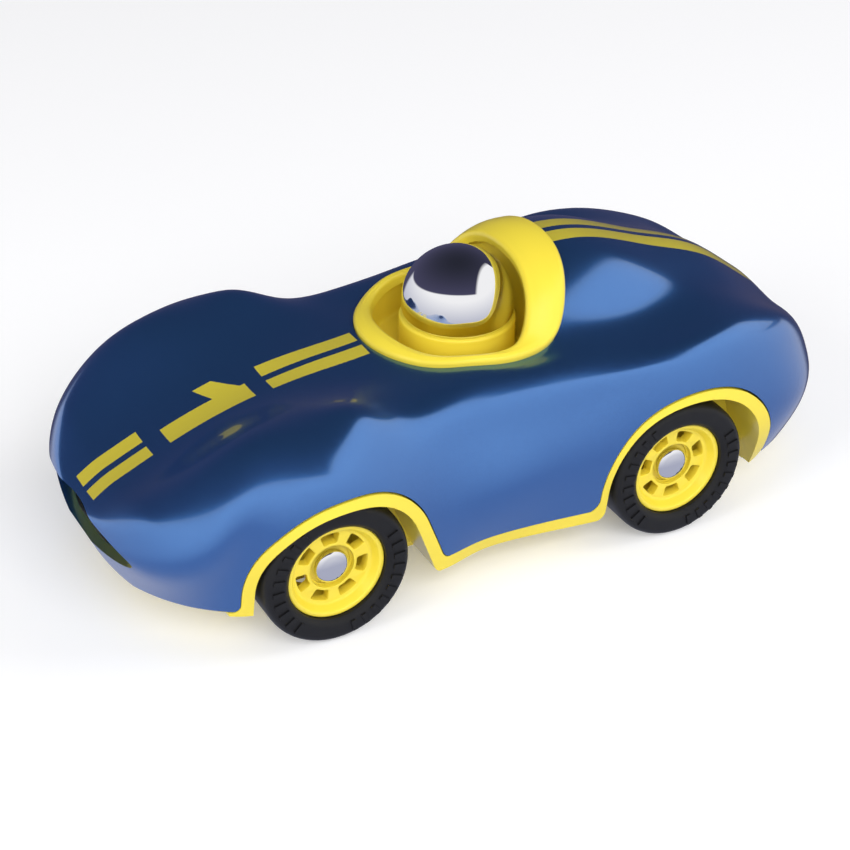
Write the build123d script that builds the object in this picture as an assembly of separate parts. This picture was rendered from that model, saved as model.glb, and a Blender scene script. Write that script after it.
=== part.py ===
"""Pull-back toy racing car, modelled as the pieces it is assembled from.

Frame: +X to the nose, +Y to the car's left, +Z up, millimetres. The origin is
on the ground, under the middle of the car's length. Every piece is written to
its own STEP file, named after the piece.
"""

from build123d import *

import math
import os

os.makedirs("parts", exist_ok=True)

# ---------------------------------------------------------------- sizes, mm
# Stations along the car
NOSE_X = 82.0
TAIL_X = -82.0
FRONT_AXLE_X = 42.5
REAR_AXLE_X = -34.9
WAIST_X = 14.0
COCKPIT_X = -6.0

# Wheels
TYRE_RADIUS = 15.3
TYRE_WIDTH = 11.0
TYRE_FACE_Y = 35.5
TYRE_BEAD_RADIUS = 9.1
TYRE_SHOULDER = 2.6
RIM_RADIUS = 10.2
RIM_FACE_Y = 34.0
RIM_FLANGE = 0.9
RIM_DISH = 1.9
RIM_BARREL_WALL = 1.0
RIM_WEB = 2.2
RIM_WINDOWS = 7
WINDOW_INNER_RADIUS = 5.3
WINDOW_OUTER_RADIUS = 7.6
WINDOW_ANGLE = 33.0
FRONT_WINDOW_PHASE = 87.5
REAR_WINDOW_PHASE = 112.0
HUB_RADIUS = 5.0
HUB_RECESS_RADIUS = 4.7
HUB_RECESS = 1.6
HUB_INNER_Y = 23.1
CAP_RADIUS = 3.55
CAP_SKIRT = 1.7
CAP_DOME = 0.9
AXLE_RADIUS = 1.5
AXLE_STICKS_OUT = 1.2

# Body heights and half-widths at the main stations
ROOF_Z = 57.3
HOOD_Z = 39.3
FRONT_CREST_Z = 45.4
REAR_CREST_Z = 42.6
CREST_Y = 26.5
FRONT_BELT_Y = 38.8
WAIST_BELT_Y = 33.2
REAR_BELT_Y = 37.0
SILL_Y = 30.3
BASE_Z = 7.0
PARTING_Z = 10.0
NOSE_TIP_Z = 22.5
TAIL_TIP_Z = 20.5
SHELL_WALL = 2.2

# Wheel arches: radius, centre behind and below the axle, slope of the rear leg
FRONT_ARCH_RADIUS = 19.8
REAR_ARCH_RADIUS = 21.0
FRONT_ARCH_SETBACK = 1.2
REAR_ARCH_SETBACK = 3.1
FRONT_ARCH_DROP = 1.3
REAR_ARCH_DROP = 2.1
FRONT_ARCH_LEG = 158.0
REAR_ARCH_LEG = 174.0
ARCH_FLARE = 3.0
# Wheel wells inside the arches, set a little nearer to the tyre than the arches
FRONT_WELL_RADIUS = 17.1
REAR_WELL_RADIUS = 18.4
FRONT_WELL_SETBACK = 0.9
REAR_WELL_SETBACK = 2.2
FRONT_WELL_DROP = 0.8
REAR_WELL_DROP = 1.5
WELL_FLARE = 2.5
WELL_Y = 22.6
WELL_WALL = 1.4
# Where the arch bands end, ahead of the front wheel and behind the rear wheel
FRONT_TOE_Z = 8.8
REAR_TOE_Z = 8.2
TOE_ROUND = 3.0

# Chassis
FLOOR = 2.0
PLATE_AHEAD = 13.5
PLATE_BEHIND = 15.1
END_TRAY_RISE = 1.0
POST_RADIUS = 3.2
POST_NOSE_X = 66.0
POST_NOSE_Y = 14.0
POST_TAIL_X = -66.0
POST_TAIL_Y = 13.0
SCREW_HEAD_RADIUS = 2.4
SCREW_HEAD = 1.2
SCREW_SHANK_RADIUS = 1.0
SCREW_LENGTH = 9.0
BEARING_BLOCK_LENGTH = 8.0
BEARING_BLOCK_WIDTH = 6.0
BEARING_BLOCK_RISE = 3.6

# Air intake in the nose: a wide oval mouth, closed by a liner set back in it
MOUTH_HALF_WIDTH = 21.5
MOUTH_HALF_HEIGHT = 5.5
MOUTH_Z = 18.4
MOUTH_DEPTH = 11.0
MOUTH_WALL = 1.0
MOUTH_RECESS = 3.5

# Cockpit: outline of the surround, of its opening, and of the well below it
RING_FRONT = 25.5
RING_REAR = 14.8
RING_HALF_WIDTH = 21.2
RING_PROUD = 1.5
RING_DEPTH = 1.6
OPENING_X = -2.0
OPENING_FRONT = 17.1
OPENING_REAR = 9.3
OPENING_HALF_WIDTH = 18.2
WELL_REAR = 12.5
WELL_UNDERCUT = 0.5
COCKPIT_FLOOR_Z = 35.4
COCKPIT_WALL = 1.4
FLANGE_REACH = 2.5
FLANGE = 1.2

# Driver: a post with a mirror-bright domed head
HEAD_X = -1.9
HEAD_RADIUS = 11.5
HEAD_CENTRE_Z = 46.2
HEAD_BASE_Z = 43.4
NECK_RADIUS = 11.9
NECK_PLUG_RADIUS = 4.0
NECK_PLUG = 5.0

# Pull-back motor
GEAR_MODULE = 0.7
PRESSURE_ANGLE = 25.0
BACKLASH = 0.12
ADDENDUM = 0.56
DEDENDUM = 0.74
PINION_TEETH = 10
IDLER_TEETH = 22
IDLER_PINION_TEETH = 10
BARREL_TEETH = 22
IDLER_ANGLE = 35.0
BARREL_ANGLE = -15.0
DRIVE_GEAR_WIDTH = 3.0
DRIVE_GEAR_Y = 3.0
BARREL_GEAR_WIDTH = 3.0
BARREL_GEAR_Y = -1.5
DRUM_RADIUS = 6.9
DRUM_DEPTH = 4.6
DRUM_WALL = 0.8
SPRING_STRIP = 0.35
SPRING_TURNS = 5
SPRING_STEPS = 10
IDLER_PIN_RADIUS = 1.0
ARBOR_RADIUS = 1.6
MOTOR_HALF_WIDTH = 8.2
MOTOR_WALL = 1.2
MOTOR_MARGIN = 1.4
MOTOR_CORNER = 5.0
MOTOR_STOP = 2.0
MOTOR_STOP_RISE = 4.0

# Fits
RUNNING_FIT = 0.05
PRESS_GAP = 0.005
SEAT_GAP = 0.05
PANEL_GAP = 0.15

# ------------------------------------------------------- worked-out places
AXLE_Z = TYRE_RADIUS
FLOOR_TOP_Z = BASE_Z + FLOOR
FOOT_Z = BASE_Z - 1.0
FOOT_DROP = 0.2
FAR = 60.0
SIDES = (1, -1)


def curve(*points):
    """Natural cubic spline through (place, value) points, as a function."""
    places, values = zip(*sorted(points))
    last = len(places) - 1
    steps = [places[i + 1] - places[i] for i in range(last)]
    slopes = [(values[i + 1] - values[i]) / steps[i] for i in range(last)]
    lower, bend = [0.0], [0.0]
    for i in range(1, last):
        pivot = 2 * (steps[i - 1] + steps[i]) - steps[i - 1] * lower[-1]
        load = 6 * (slopes[i] - slopes[i - 1]) - steps[i - 1] * bend[-1]
        lower.append(steps[i] / pivot)
        bend.append(load / pivot)
    bend.append(0.0)
    for i in range(last - 1, 0, -1):
        bend[i] -= lower[i] * bend[i + 1]

    def value(place):
        place = min(max(place, places[0]), places[-1])
        i = max(k for k in range(last) if k == 0 or places[k] <= place)
        after, before = places[i + 1] - place, place - places[i]
        step = steps[i]
        cubic = (bend[i] * after**3 + bend[i + 1] * before**3) / (6 * step)
        line = (values[i] / step - bend[i] * step / 6) * after
        return cubic + line + (values[i + 1] / step - bend[i + 1] * step / 6) * before

    return value


# ---------------------------------------------------------- lines of the body
# Each line runs along the car. Places are tied to the nose, tail and axles.
FRONT, REAR = FRONT_AXLE_X, REAR_AXLE_X

SPINE_Z = curve(
    (NOSE_X, HOOD_Z - 14.4), (FRONT + 24, HOOD_Z - 7.4), (FRONT + 12.5, HOOD_Z - 3.1),
    (FRONT, HOOD_Z), (FRONT - 12.5, HOOD_Z + 1.9), (WAIST_X + 6, HOOD_Z + 2.9),
    (COCKPIT_X + 11, HOOD_Z + 7.7), (COCKPIT_X - 4, ROOF_Z - 1.8), (COCKPIT_X - 12, ROOF_Z),
    (REAR + 6.9, ROOF_Z - 0.5), (REAR - 10.5, ROOF_Z - 6.3), (REAR - 25, ROOF_Z - 12.1),
    (REAR - 36, ROOF_Z - 20.2), (TAIL_X, ROOF_Z - 28.2),
)
FLANK_Y = curve(
    (NOSE_X, 13), (WAIST_X, 13), (COCKPIT_X - 12, 15), (REAR - 10, 14), (TAIL_X, 12),
)
FLANK_Z = curve(
    (NOSE_X, HOOD_Z - 13.8), (FRONT + 24, HOOD_Z - 5.6), (FRONT + 12.5, HOOD_Z - 0.8),
    (FRONT, HOOD_Z + 1.8), (FRONT - 12.5, HOOD_Z + 2.2), (WAIST_X + 6, HOOD_Z + 2.3),
    (COCKPIT_X + 11, HOOD_Z + 5.4), (COCKPIT_X - 4, ROOF_Z - 5.3), (COCKPIT_X - 12, ROOF_Z - 4.1),
    (REAR + 6.9, ROOF_Z - 4.1), (REAR - 10.5, ROOF_Z - 9.7), (REAR - 25, ROOF_Z - 15.3),
    (REAR - 36, ROOF_Z - 22.1), (TAIL_X, ROOF_Z - 28.4),
)
CREST_OUT = curve(
    (NOSE_X, CREST_Y - 1.2), (FRONT, CREST_Y - 0.8), (WAIST_X + 11, CREST_Y - 1.4),
    (WAIST_X, CREST_Y - 1.9), (COCKPIT_X, CREST_Y - 0.9), (REAR, CREST_Y + 1.4),
    (REAR - 15, CREST_Y + 0.4), (REAR - 30, CREST_Y - 1.6), (TAIL_X, CREST_Y - 4),
)
CREST_Z = curve(
    (NOSE_X, FRONT_CREST_Z - 19.6), (FRONT + 31.5, FRONT_CREST_Z - 13.4),
    (FRONT + 24, FRONT_CREST_Z - 7.8), (FRONT + 16, FRONT_CREST_Z - 3.3),
    (FRONT + 8, FRONT_CREST_Z - 1.5), (FRONT, FRONT_CREST_Z - 1.1), (FRONT - 7, FRONT_CREST_Z - 0.5),
    (WAIST_X + 11, FRONT_CREST_Z - 4.3), (WAIST_X, REAR_CREST_Z - 1.8),
    (COCKPIT_X, REAR_CREST_Z - 0.4), (COCKPIT_X - 12, REAR_CREST_Z),
    (REAR, REAR_CREST_Z + 0.8), (REAR - 15, REAR_CREST_Z + 1.2), (REAR - 25, REAR_CREST_Z - 1.5),
    (REAR - 33, REAR_CREST_Z - 5.4), (REAR - 40, REAR_CREST_Z - 10.9),
    (TAIL_X, REAR_CREST_Z - 15.3),
)
SHOULDER_Y = curve(
    (NOSE_X, FRONT_BELT_Y - 7.6), (FRONT + 24, FRONT_BELT_Y - 5.4),
    (FRONT + 12.5, FRONT_BELT_Y - 4.8), (FRONT, FRONT_BELT_Y - 3.5),
    (FRONT - 12.5, FRONT_BELT_Y - 6), (WAIST_X, WAIST_BELT_Y - 3.4),
    (COCKPIT_X, WAIST_BELT_Y - 2.2), (COCKPIT_X - 12, WAIST_BELT_Y - 1.2),
    (REAR, REAR_BELT_Y - 2.7), (REAR - 15, REAR_BELT_Y - 3.7), (REAR - 30, REAR_BELT_Y - 6.5),
    (TAIL_X, REAR_BELT_Y - 10),
)
SHOULDER_Z = curve(
    (NOSE_X, FRONT_CREST_Z - 22), (FRONT + 24, FRONT_CREST_Z - 13.1),
    (FRONT + 12.5, FRONT_CREST_Z - 8.2), (FRONT, FRONT_CREST_Z - 5.9),
    (FRONT - 12.5, FRONT_CREST_Z - 8.6), (WAIST_X, REAR_CREST_Z - 9.4),
    (COCKPIT_X, REAR_CREST_Z - 8.8), (COCKPIT_X - 12, REAR_CREST_Z - 6.4),
    (REAR, REAR_CREST_Z - 2.4), (REAR - 15, REAR_CREST_Z - 3.8), (REAR - 30, REAR_CREST_Z - 10),
    (TAIL_X, REAR_CREST_Z - 18.7),
)
BELT_Y = curve(
    (NOSE_X, FRONT_BELT_Y - 7.2), (FRONT + 24, FRONT_BELT_Y - 4.8),
    (FRONT + 18.5, FRONT_BELT_Y - 5), (FRONT + 12.5, FRONT_BELT_Y - 2.6),
    (FRONT + 6, FRONT_BELT_Y - 0.8), (FRONT, FRONT_BELT_Y), (FRONT - 8.5, FRONT_BELT_Y - 0.9),
    (FRONT - 15.5, FRONT_BELT_Y - 3), (WAIST_X + 7, WAIST_BELT_Y + 1), (WAIST_X, WAIST_BELT_Y),
    (COCKPIT_X + 11, WAIST_BELT_Y + 0.2), (COCKPIT_X, WAIST_BELT_Y + 0.5),
    (REAR + 19, REAR_BELT_Y - 2.6), (REAR + 9, REAR_BELT_Y - 1.4), (REAR, REAR_BELT_Y),
    (REAR - 9, REAR_BELT_Y - 0.1), (REAR - 19, REAR_BELT_Y - 1.8),
    (REAR - 29, REAR_BELT_Y - 3.8), (TAIL_X, REAR_BELT_Y - 8),
)
BELT_Z = curve(
    (NOSE_X, 18), (FRONT + 24, 24), (FRONT, 27), (WAIST_X, 22), (COCKPIT_X, 23),
    (REAR, 26), (REAR - 25, 22), (TAIL_X, 19),
)
SILL = curve(
    (NOSE_X, SILL_Y - 17.1), (FRONT + 31, SILL_Y - 11.8), (FRONT + 24, SILL_Y - 4.9),
    (FRONT + 18.5, SILL_Y - 0.3), (FRONT + 12.5, SILL_Y + 1.2), (FRONT, SILL_Y + 3.7),
    (WAIST_X + 11, SILL_Y + 2.7), (WAIST_X + 3, SILL_Y + 2.1), (WAIST_X - 4, SILL_Y + 0.1),
    (COCKPIT_X + 6, SILL_Y - 0.1), (COCKPIT_X - 4, SILL_Y + 1.2), (COCKPIT_X - 12, SILL_Y + 2.2),
    (REAR, SILL_Y + 2.7), (REAR - 21, SILL_Y - 0.8), (REAR - 33, SILL_Y - 5.8),
    (TAIL_X, SILL_Y - 11.3),
)
# Where the named points lie along half a section, from the spine to the sill
SECTION_SHARES = (0.0, 0.2, 0.42, 0.62, 0.8, 1.0)


def fade(distance, power):
    """Quarter of a superellipse: 1 until the distance starts, 0 at its end."""
    return max(0.0, 1 - max(0.0, distance) ** power) ** (1 / power)


def closing(x, grow):
    """How far width, top and underside have closed in near the nose or tail."""
    if x > 0:
        tip, tip_z = NOSE_X + grow, NOSE_TIP_Z
        starts = ((tip - 22, 2.6), (tip - 7.5, 2.0), (tip - 14.5, 1.75))
    else:
        tip, tip_z = TAIL_X - grow, TAIL_TIP_Z
        starts = ((tip + 27, 2.5), (tip + 11, 2.0), (tip + 11, 2.0))
    shares = [fade((x - start) / (tip - start), power) for start, power in starts]
    return tip_z, *shares


def section_points(x, grow):
    """Points of the whole cross-section at x, left sill over the top to right sill."""
    half = [
        (0, SPINE_Z(x)), (FLANK_Y(x), FLANK_Z(x)), (CREST_OUT(x), CREST_Z(x)),
        (SHOULDER_Y(x), SHOULDER_Z(x)), (BELT_Y(x), BELT_Z(x)), (SILL(x), FOOT_Z),
    ]
    whole = [(-y, z) for y, z in reversed(half[1:])] + half
    moved = []
    for i, (y, z) in enumerate(whole):
        before, after = whole[max(i - 1, 0)], whole[min(i + 1, len(whole) - 1)]
        run, rise = after[0] - before[0], after[1] - before[1]
        length = math.hypot(run, rise)
        moved.append((y - grow * rise / length, z + grow * run / length))
    moved[0] = (moved[0][0], FOOT_Z)
    moved[-1] = (moved[-1][0], FOOT_Z)
    tip_z, width, top, under = closing(x, grow)
    return [(y * width, tip_z + (z - tip_z) * (top if z > tip_z else under)) for y, z in moved]


def section(x, grow):
    """Closed outline of the body at x, moved outwards by grow."""
    shares = [-share for share in reversed(SECTION_SHARES[1:])] + list(SECTION_SHARES)
    points = [Vector(x, y, z) for y, z in section_points(x, grow)]
    top = Edge.make_spline(points, parameters=[(share + 1) / 2 for share in shares])
    return Wire([top, Edge.make_line(top @ 1, top @ 0)])


def stations(grow):
    """Places of the cross-sections: close together where nose and tail round off."""
    nose, tail = NOSE_X + grow, TAIL_X - grow
    nose_start, tail_start = nose - 9, tail + 12
    steps = [0.12 + (math.pi / 2 - 0.12) * i / 5 for i in range(5)]
    middle = [
        FRONT + 22.5, FRONT + 13.5, FRONT + 3.5, FRONT - 6.5, FRONT - 16.5, WAIST_X + 2,
        COCKPIT_X + 12, COCKPIT_X - 2, REAR + 12.9, REAR, REAR - 13.5, REAR - 27,
    ]
    nose_end = [nose + (nose_start - nose) * (1 - math.cos(step)) for step in steps]
    tail_end = [tail + (tail_start - tail) * (1 - math.cos(step)) for step in steps]
    return sorted(nose_end + [nose_start] + middle + [tail_start] + tail_end)


def body_form(grow=0.0):
    """Solid of the whole body, moved outwards (or inwards) by grow."""
    return Solid.make_loft([section(x, grow) for x in stations(grow)])


def box_between(corner, opposite):
    """Box between two opposite corners."""
    middle = [(a + b) / 2 for a, b in zip(corner, opposite)]
    return Pos(*middle) * Box(*[abs(a - b) for a, b in zip(corner, opposite)])


def slab(low_z, high_z, low_x=-2 * FAR, high_x=2 * FAR):
    """Box between two heights and two stations, wider than the car."""
    return box_between((low_x, -FAR, low_z), (high_x, FAR, high_z))


def cross_rod(x, z, radius, low_y, high_y):
    """Round bar along Y."""
    bar = Cylinder(radius, high_y - low_y)
    return Pos(x, (low_y + high_y) / 2, z) * Rot(90, 0, 0) * bar


def upright(x, y, radius, low_z, high_z):
    """Round bar along Z."""
    return Pos(x, y, (low_z + high_z) / 2) * Cylinder(radius, high_z - low_z)


# ------------------------------------------------------------ wheel arches
def arch_sizes(front):
    """Arch opening in the body: radius, centre, leg's slope, foot, flares."""
    foot_z = PARTING_Z - FOOT_DROP
    if front:
        centre = (FRONT - FRONT_ARCH_SETBACK, AXLE_Z - FRONT_ARCH_DROP)
        return FRONT_ARCH_RADIUS, centre, FRONT_ARCH_LEG, foot_z, (ARCH_FLARE, ARCH_FLARE)
    centre = (REAR - REAR_ARCH_SETBACK, AXLE_Z - REAR_ARCH_DROP)
    return REAR_ARCH_RADIUS, centre, REAR_ARCH_LEG, foot_z, (ARCH_FLARE, 0)


def well_sizes(front):
    """Wheel well inside an arch: radius, centre, leg's slope, foot, flares."""
    foot_z = BASE_Z - FOOT_DROP
    if front:
        centre = (FRONT - FRONT_WELL_SETBACK, AXLE_Z - FRONT_WELL_DROP)
        return FRONT_WELL_RADIUS, centre, FRONT_ARCH_LEG, foot_z, (0, WELL_FLARE)
    centre = (REAR - REAR_WELL_SETBACK, AXLE_Z - REAR_WELL_DROP)
    return REAR_WELL_RADIUS, centre, REAR_ARCH_LEG, foot_z, (WELL_FLARE, 0)


def arch_leg(top, down, out, foot_z, flare):
    """Edges of an arch's leg, which flares out at its foot, and its lowest point."""
    low_z = FOOT_Z - 2
    if not flare:
        toe = top + down * ((low_z - top.Z) / down.Z)
        return [Edge.make_line(top, toe)], toe
    corner = top + down * ((foot_z - top.Z) / down.Z)
    half = math.acos(down.dot(out)) / 2
    reach = flare * math.tan(half)
    begin, finish = corner - down * reach, corner + out * reach
    middle = corner + (out - down).normalized() * (flare / math.cos(half) - flare)
    toe = Vector(finish.X, 0, low_z)
    curve_out = Edge.make_three_point_arc(begin, middle, finish)
    return [Edge.make_line(top, begin), curve_out, Edge.make_line(finish, toe)], toe


def arch_prism(sizes, grow, low_y, high_y):
    """Prisms of an arch on both sides, between two distances from the middle."""
    radius, (centre_x, centre_z), leg_angle, foot_z, flares = sizes
    radius += grow
    foot_z += grow
    front_flare, rear_flare = [flare - grow if flare else 0 for flare in flares]
    leg = math.radians(leg_angle)

    def on_arc(turn):
        return Vector(centre_x + radius * math.cos(turn), 0, centre_z + radius * math.sin(turn))

    start, middle, end = on_arc(0), on_arc(leg / 2), on_arc(leg)
    rear_down = Vector(-math.sin(leg), 0, math.cos(leg))
    ahead = Vector(1, 0, 0)
    front_leg, heel = arch_leg(start, Vector(0, 0, -1), ahead, foot_z, front_flare)
    rear_leg, toe = arch_leg(end, rear_down, ahead * -1, foot_z, rear_flare)
    arc = Edge.make_three_point_arc(start, middle, end)
    outline = Wire(front_leg[::-1] + [arc] + rear_leg + [Edge.make_line(toe, heel)])
    left = Pos(0, low_y, 0) * Solid.extrude(Face(outline), Vector(0, high_y - low_y, 0))
    return left + mirror(left, Plane.XZ)


def beyond_toe(front):
    """What an arch's band leaves free at its outer foot, under and round the toe."""
    if front:
        return slab(0, FRONT_TOE_Z, FRONT)
    toe_x = REAR - REAR_ARCH_SETBACK - REAR_ARCH_RADIUS + TOE_ROUND
    round_z = REAR_TOE_Z + TOE_ROUND
    corner = slab(0, round_z, -2 * FAR, toe_x) - cross_rod(toe_x, round_z, TOE_ROUND, -FAR, FAR)
    return corner + slab(0, REAR_TOE_Z, -2 * FAR, REAR)


# ------------------------------------------------------------ cockpit outlines
def oval(centre_x, front, rear, half_width, powers):
    """Egg-shaped outline in plan, widest at centre_x."""
    points = []
    count = 24
    for i in range(count):
        turn = 2 * math.pi * i / count
        reach, power = (front, powers[0]) if math.cos(turn) > 0 else (rear, powers[1])
        along = math.copysign(abs(math.cos(turn)) ** (2 / power), math.cos(turn))
        across = math.copysign(abs(math.sin(turn)) ** (2 / power), math.sin(turn))
        points.append(Vector(centre_x + reach * along, half_width * across, 0))
    return Face(Wire([Edge.make_spline(points, periodic=True)]))


def oval_prism(outline, low_z, high_z):
    """Upright prism of a plan outline."""
    return Pos(0, 0, low_z) * Solid.extrude(outline, Vector(0, 0, high_z - low_z))


def ring_oval(grow=0.0):
    """Outline of the cockpit surround."""
    return oval(COCKPIT_X, RING_FRONT + grow, RING_REAR + grow, RING_HALF_WIDTH + grow, (2.0, 2.4))


def opening_oval():
    """Outline of the opening in the surround."""
    return oval(OPENING_X, OPENING_FRONT, OPENING_REAR, OPENING_HALF_WIDTH, (2.05, 2.8))


def well_oval(grow=0.0):
    """Outline of the well below the surround, a little wider than the opening."""
    front = OPENING_FRONT + WELL_UNDERCUT + grow
    half_width = OPENING_HALF_WIDTH + WELL_UNDERCUT + grow
    return oval(OPENING_X, front, WELL_REAR + grow, half_width, (2.05, 2.4))


# ------------------------------------------------------------ nose intake
def mouth_prism(grow, low_x, high_x):
    """Oval prism along X, the air intake's opening."""
    across = Plane((low_x, 0, MOUTH_Z), x_dir=(0, 1, 0), z_dir=(1, 0, 0))
    outline = Wire.make_ellipse(MOUTH_HALF_WIDTH + grow, MOUTH_HALF_HEIGHT + grow, across)
    return Solid.extrude(Face(outline), Vector(high_x - low_x, 0, 0))


# ------------------------------------------------------------ body and chassis
# Screw posts: place, and the height of the floor's underside below them
POSTS = [
    (x, side * y, base)
    for x, y, base in (
        (POST_NOSE_X, POST_NOSE_Y, BASE_Z + END_TRAY_RISE),
        (POST_TAIL_X, POST_TAIL_Y, BASE_Z + END_TRAY_RISE),
    )
    for side in SIDES
]
OUTER = body_form()
INNER = body_form(-SHELL_WALL)


def body_shell():
    """Upper body: a thin moulded shell with four screw posts inside."""
    shell = (OUTER & slab(PARTING_Z, 2 * FAR)) - INNER
    for front in (True, False):
        shell -= arch_prism(arch_sizes(front), 0, WELL_Y - WELL_WALL - PANEL_GAP, FAR)
    shell -= oval_prism(ring_oval(PANEL_GAP), COCKPIT_FLOOR_Z - 5, 2 * FAR)
    shell -= mouth_prism(PANEL_GAP, NOSE_X - MOUTH_DEPTH - 2, NOSE_X + 5)
    inside = body_form(-SHELL_WALL / 2)
    for x, y, base in POSTS:
        shell += upright(x, y, POST_RADIUS, base + FLOOR + SEAT_GAP, 2 * FAR) & inside
    for x, y, base in POSTS:
        pilot_top = base + SCREW_HEAD + SCREW_LENGTH + 1
        shell -= upright(x, y, SCREW_SHANK_RADIUS + RUNNING_FIT, 0, pilot_top)
    return shell


def chassis():
    """Lower body: floor, sill band, wheel-arch bands, wheel wells and axle blocks."""
    nose_x = FRONT + PLATE_AHEAD
    tail_x = REAR - PLATE_BEHIND
    plate = OUTER & slab(BASE_Z, PARTING_Z, tail_x, nose_x)
    plate += body_form(-SHELL_WALL - PANEL_GAP) & slab(BASE_Z + END_TRAY_RISE, PARTING_Z)
    plate -= body_form(-SHELL_WALL - WELL_WALL) & slab(FLOOR_TOP_Z, 2 * FAR, tail_x + 1, nose_x - 1)
    skin = OUTER - INNER
    above = slab(BASE_Z, 2 * FAR)
    for front in (True, False):
        wall = arch_prism(well_sizes(front), WELL_WALL, WELL_Y - WELL_WALL, FAR) & OUTER
        band = arch_prism(arch_sizes(front), -PANEL_GAP, WELL_Y, FAR) & skin
        plate += ((wall + band) & above) - beyond_toe(front)
        plate -= arch_prism(well_sizes(front), 0, WELL_Y, FAR)
    block_top = AXLE_Z + BEARING_BLOCK_RISE
    for axle_x in (FRONT, REAR):
        for side in SIDES:
            low_x, high_x = axle_x - BEARING_BLOCK_LENGTH / 2, axle_x + BEARING_BLOCK_LENGTH / 2
            outer_y = side * (WELL_Y - WELL_WALL / 2)
            inner_y = outer_y - side * BEARING_BLOCK_WIDTH
            block = box_between((low_x, inner_y, FLOOR_TOP_Z), (high_x, outer_y, block_top))
            plate += block
        plate -= cross_rod(axle_x, AXLE_Z, AXLE_RADIUS + RUNNING_FIT, -FAR, FAR)
    for x, y, base in POSTS:
        plate -= upright(x, y, POST_RADIUS + PANEL_GAP, base + FLOOR, PARTING_Z + 1)
        plate -= upright(x, y, SCREW_SHANK_RADIUS + PANEL_GAP, 0, PARTING_Z + 1)
        plate -= upright(x, y, SCREW_HEAD_RADIUS + PANEL_GAP, 0, base + SCREW_HEAD)
    low_x, _, high_x, _ = motor_box()
    for face_x, outward in ((low_x, -1), (high_x, 1)):
        near_x = face_x + outward * (MOTOR_WALL + SEAT_GAP)
        near = (near_x, -MOTOR_HALF_WIDTH, FLOOR_TOP_Z)
        top = FLOOR_TOP_Z + MOTOR_STOP_RISE
        plate += box_between(near, (near_x + outward * MOTOR_STOP, MOTOR_HALF_WIDTH, top))
    return plate


def body_screws():
    """Four screws that go up through the floor into the posts of the shell."""
    screw = upright(0, 0, SCREW_HEAD_RADIUS, 0, SCREW_HEAD)
    screw += upright(0, 0, SCREW_SHANK_RADIUS, SCREW_HEAD, SCREW_HEAD + SCREW_LENGTH)
    return [Pos(x, y, base) * screw for x, y, base in POSTS]


def intake_liner():
    """Shallow tray that closes the nose intake from behind."""
    back_x = NOSE_X - MOUTH_DEPTH
    tray = mouth_prism(0, back_x, NOSE_X + 1) & body_form(-MOUTH_RECESS)
    return tray - mouth_prism(-MOUTH_WALL, back_x + MOUTH_WALL, NOSE_X + 2)


def cockpit_surround():
    """Raised rim round the cockpit, with its well and the flange that holds it."""
    low = COCKPIT_FLOOR_Z - COCKPIT_WALL
    under = body_form(-RING_DEPTH)
    ring = (body_form(RING_PROUD) & oval_prism(ring_oval(), low, 2 * FAR)) - under
    ring -= oval_prism(opening_oval(), low - 1, 2 * FAR)
    flange_top = -SHELL_WALL - SEAT_GAP
    flange = body_form(flange_top) & oval_prism(ring_oval(FLANGE_REACH), low, 2 * FAR)
    flange -= body_form(flange_top - FLANGE)
    cup = oval_prism(well_oval(COCKPIT_WALL), low, 2 * FAR) & body_form(-RING_DEPTH / 2)
    cavity = oval_prism(well_oval(), COCKPIT_FLOOR_Z, 2 * FAR) & under
    surround = (flange + cup) - cavity
    surround -= oval_prism(opening_oval(), COCKPIT_FLOOR_Z + 1, 2 * FAR)
    surround += ring
    return surround - upright(HEAD_X, 0, SCREW_SHANK_RADIUS + PANEL_GAP, 0, HEAD_BASE_Z)


def driver_post():
    """Driver's body: a round post that stands on the floor of the well."""
    post = upright(HEAD_X, 0, NECK_RADIUS, COCKPIT_FLOOR_Z + SEAT_GAP, HEAD_BASE_Z)
    post = chamfer(post.edges().sort_by(Axis.Z)[-1], 0.5)
    post += upright(HEAD_X, 0, NECK_PLUG_RADIUS, HEAD_BASE_Z, HEAD_BASE_Z + NECK_PLUG)
    pilot_top = COCKPIT_FLOOR_Z + SCREW_LENGTH
    return post - upright(HEAD_X, 0, SCREW_SHANK_RADIUS + RUNNING_FIT, 0, pilot_top)


def driver_head():
    """Mirror-bright domed head with a socket that fits the post."""
    low = HEAD_BASE_Z + SEAT_GAP
    dome = (Pos(HEAD_X, 0, HEAD_CENTRE_Z) * Sphere(HEAD_RADIUS)) & slab(low, 2 * FAR)
    bore_top = HEAD_BASE_Z + NECK_PLUG + PANEL_GAP
    return dome - upright(HEAD_X, 0, NECK_PLUG_RADIUS + RUNNING_FIT, 0, bore_top)


def driver_screw():
    """Screw that holds the driver's post down from below the cockpit floor."""
    low = COCKPIT_FLOOR_Z - COCKPIT_WALL - SEAT_GAP
    screw = upright(HEAD_X, 0, SCREW_HEAD_RADIUS, low - SCREW_HEAD, low)
    return screw + upright(HEAD_X, 0, SCREW_SHANK_RADIUS, low, low + SCREW_LENGTH - 1)


# ------------------------------------------------------------ wheels
def turned(profile, axle_x):
    """Solid of revolution about an axle from (radius, y) points."""
    points = [Vector(radius, y, 0) for radius, y in profile]
    face = Face(Wire.make_polygon(points, close=True))
    solid = Solid.revolve(face, 360, Axis.Y)
    return Pos(axle_x, 0, AXLE_Z) * solid


def both_sides(left):
    """A left-hand piece and its mirror image."""
    return {1: left, -1: mirror(left, Plane.XZ)}


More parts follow.
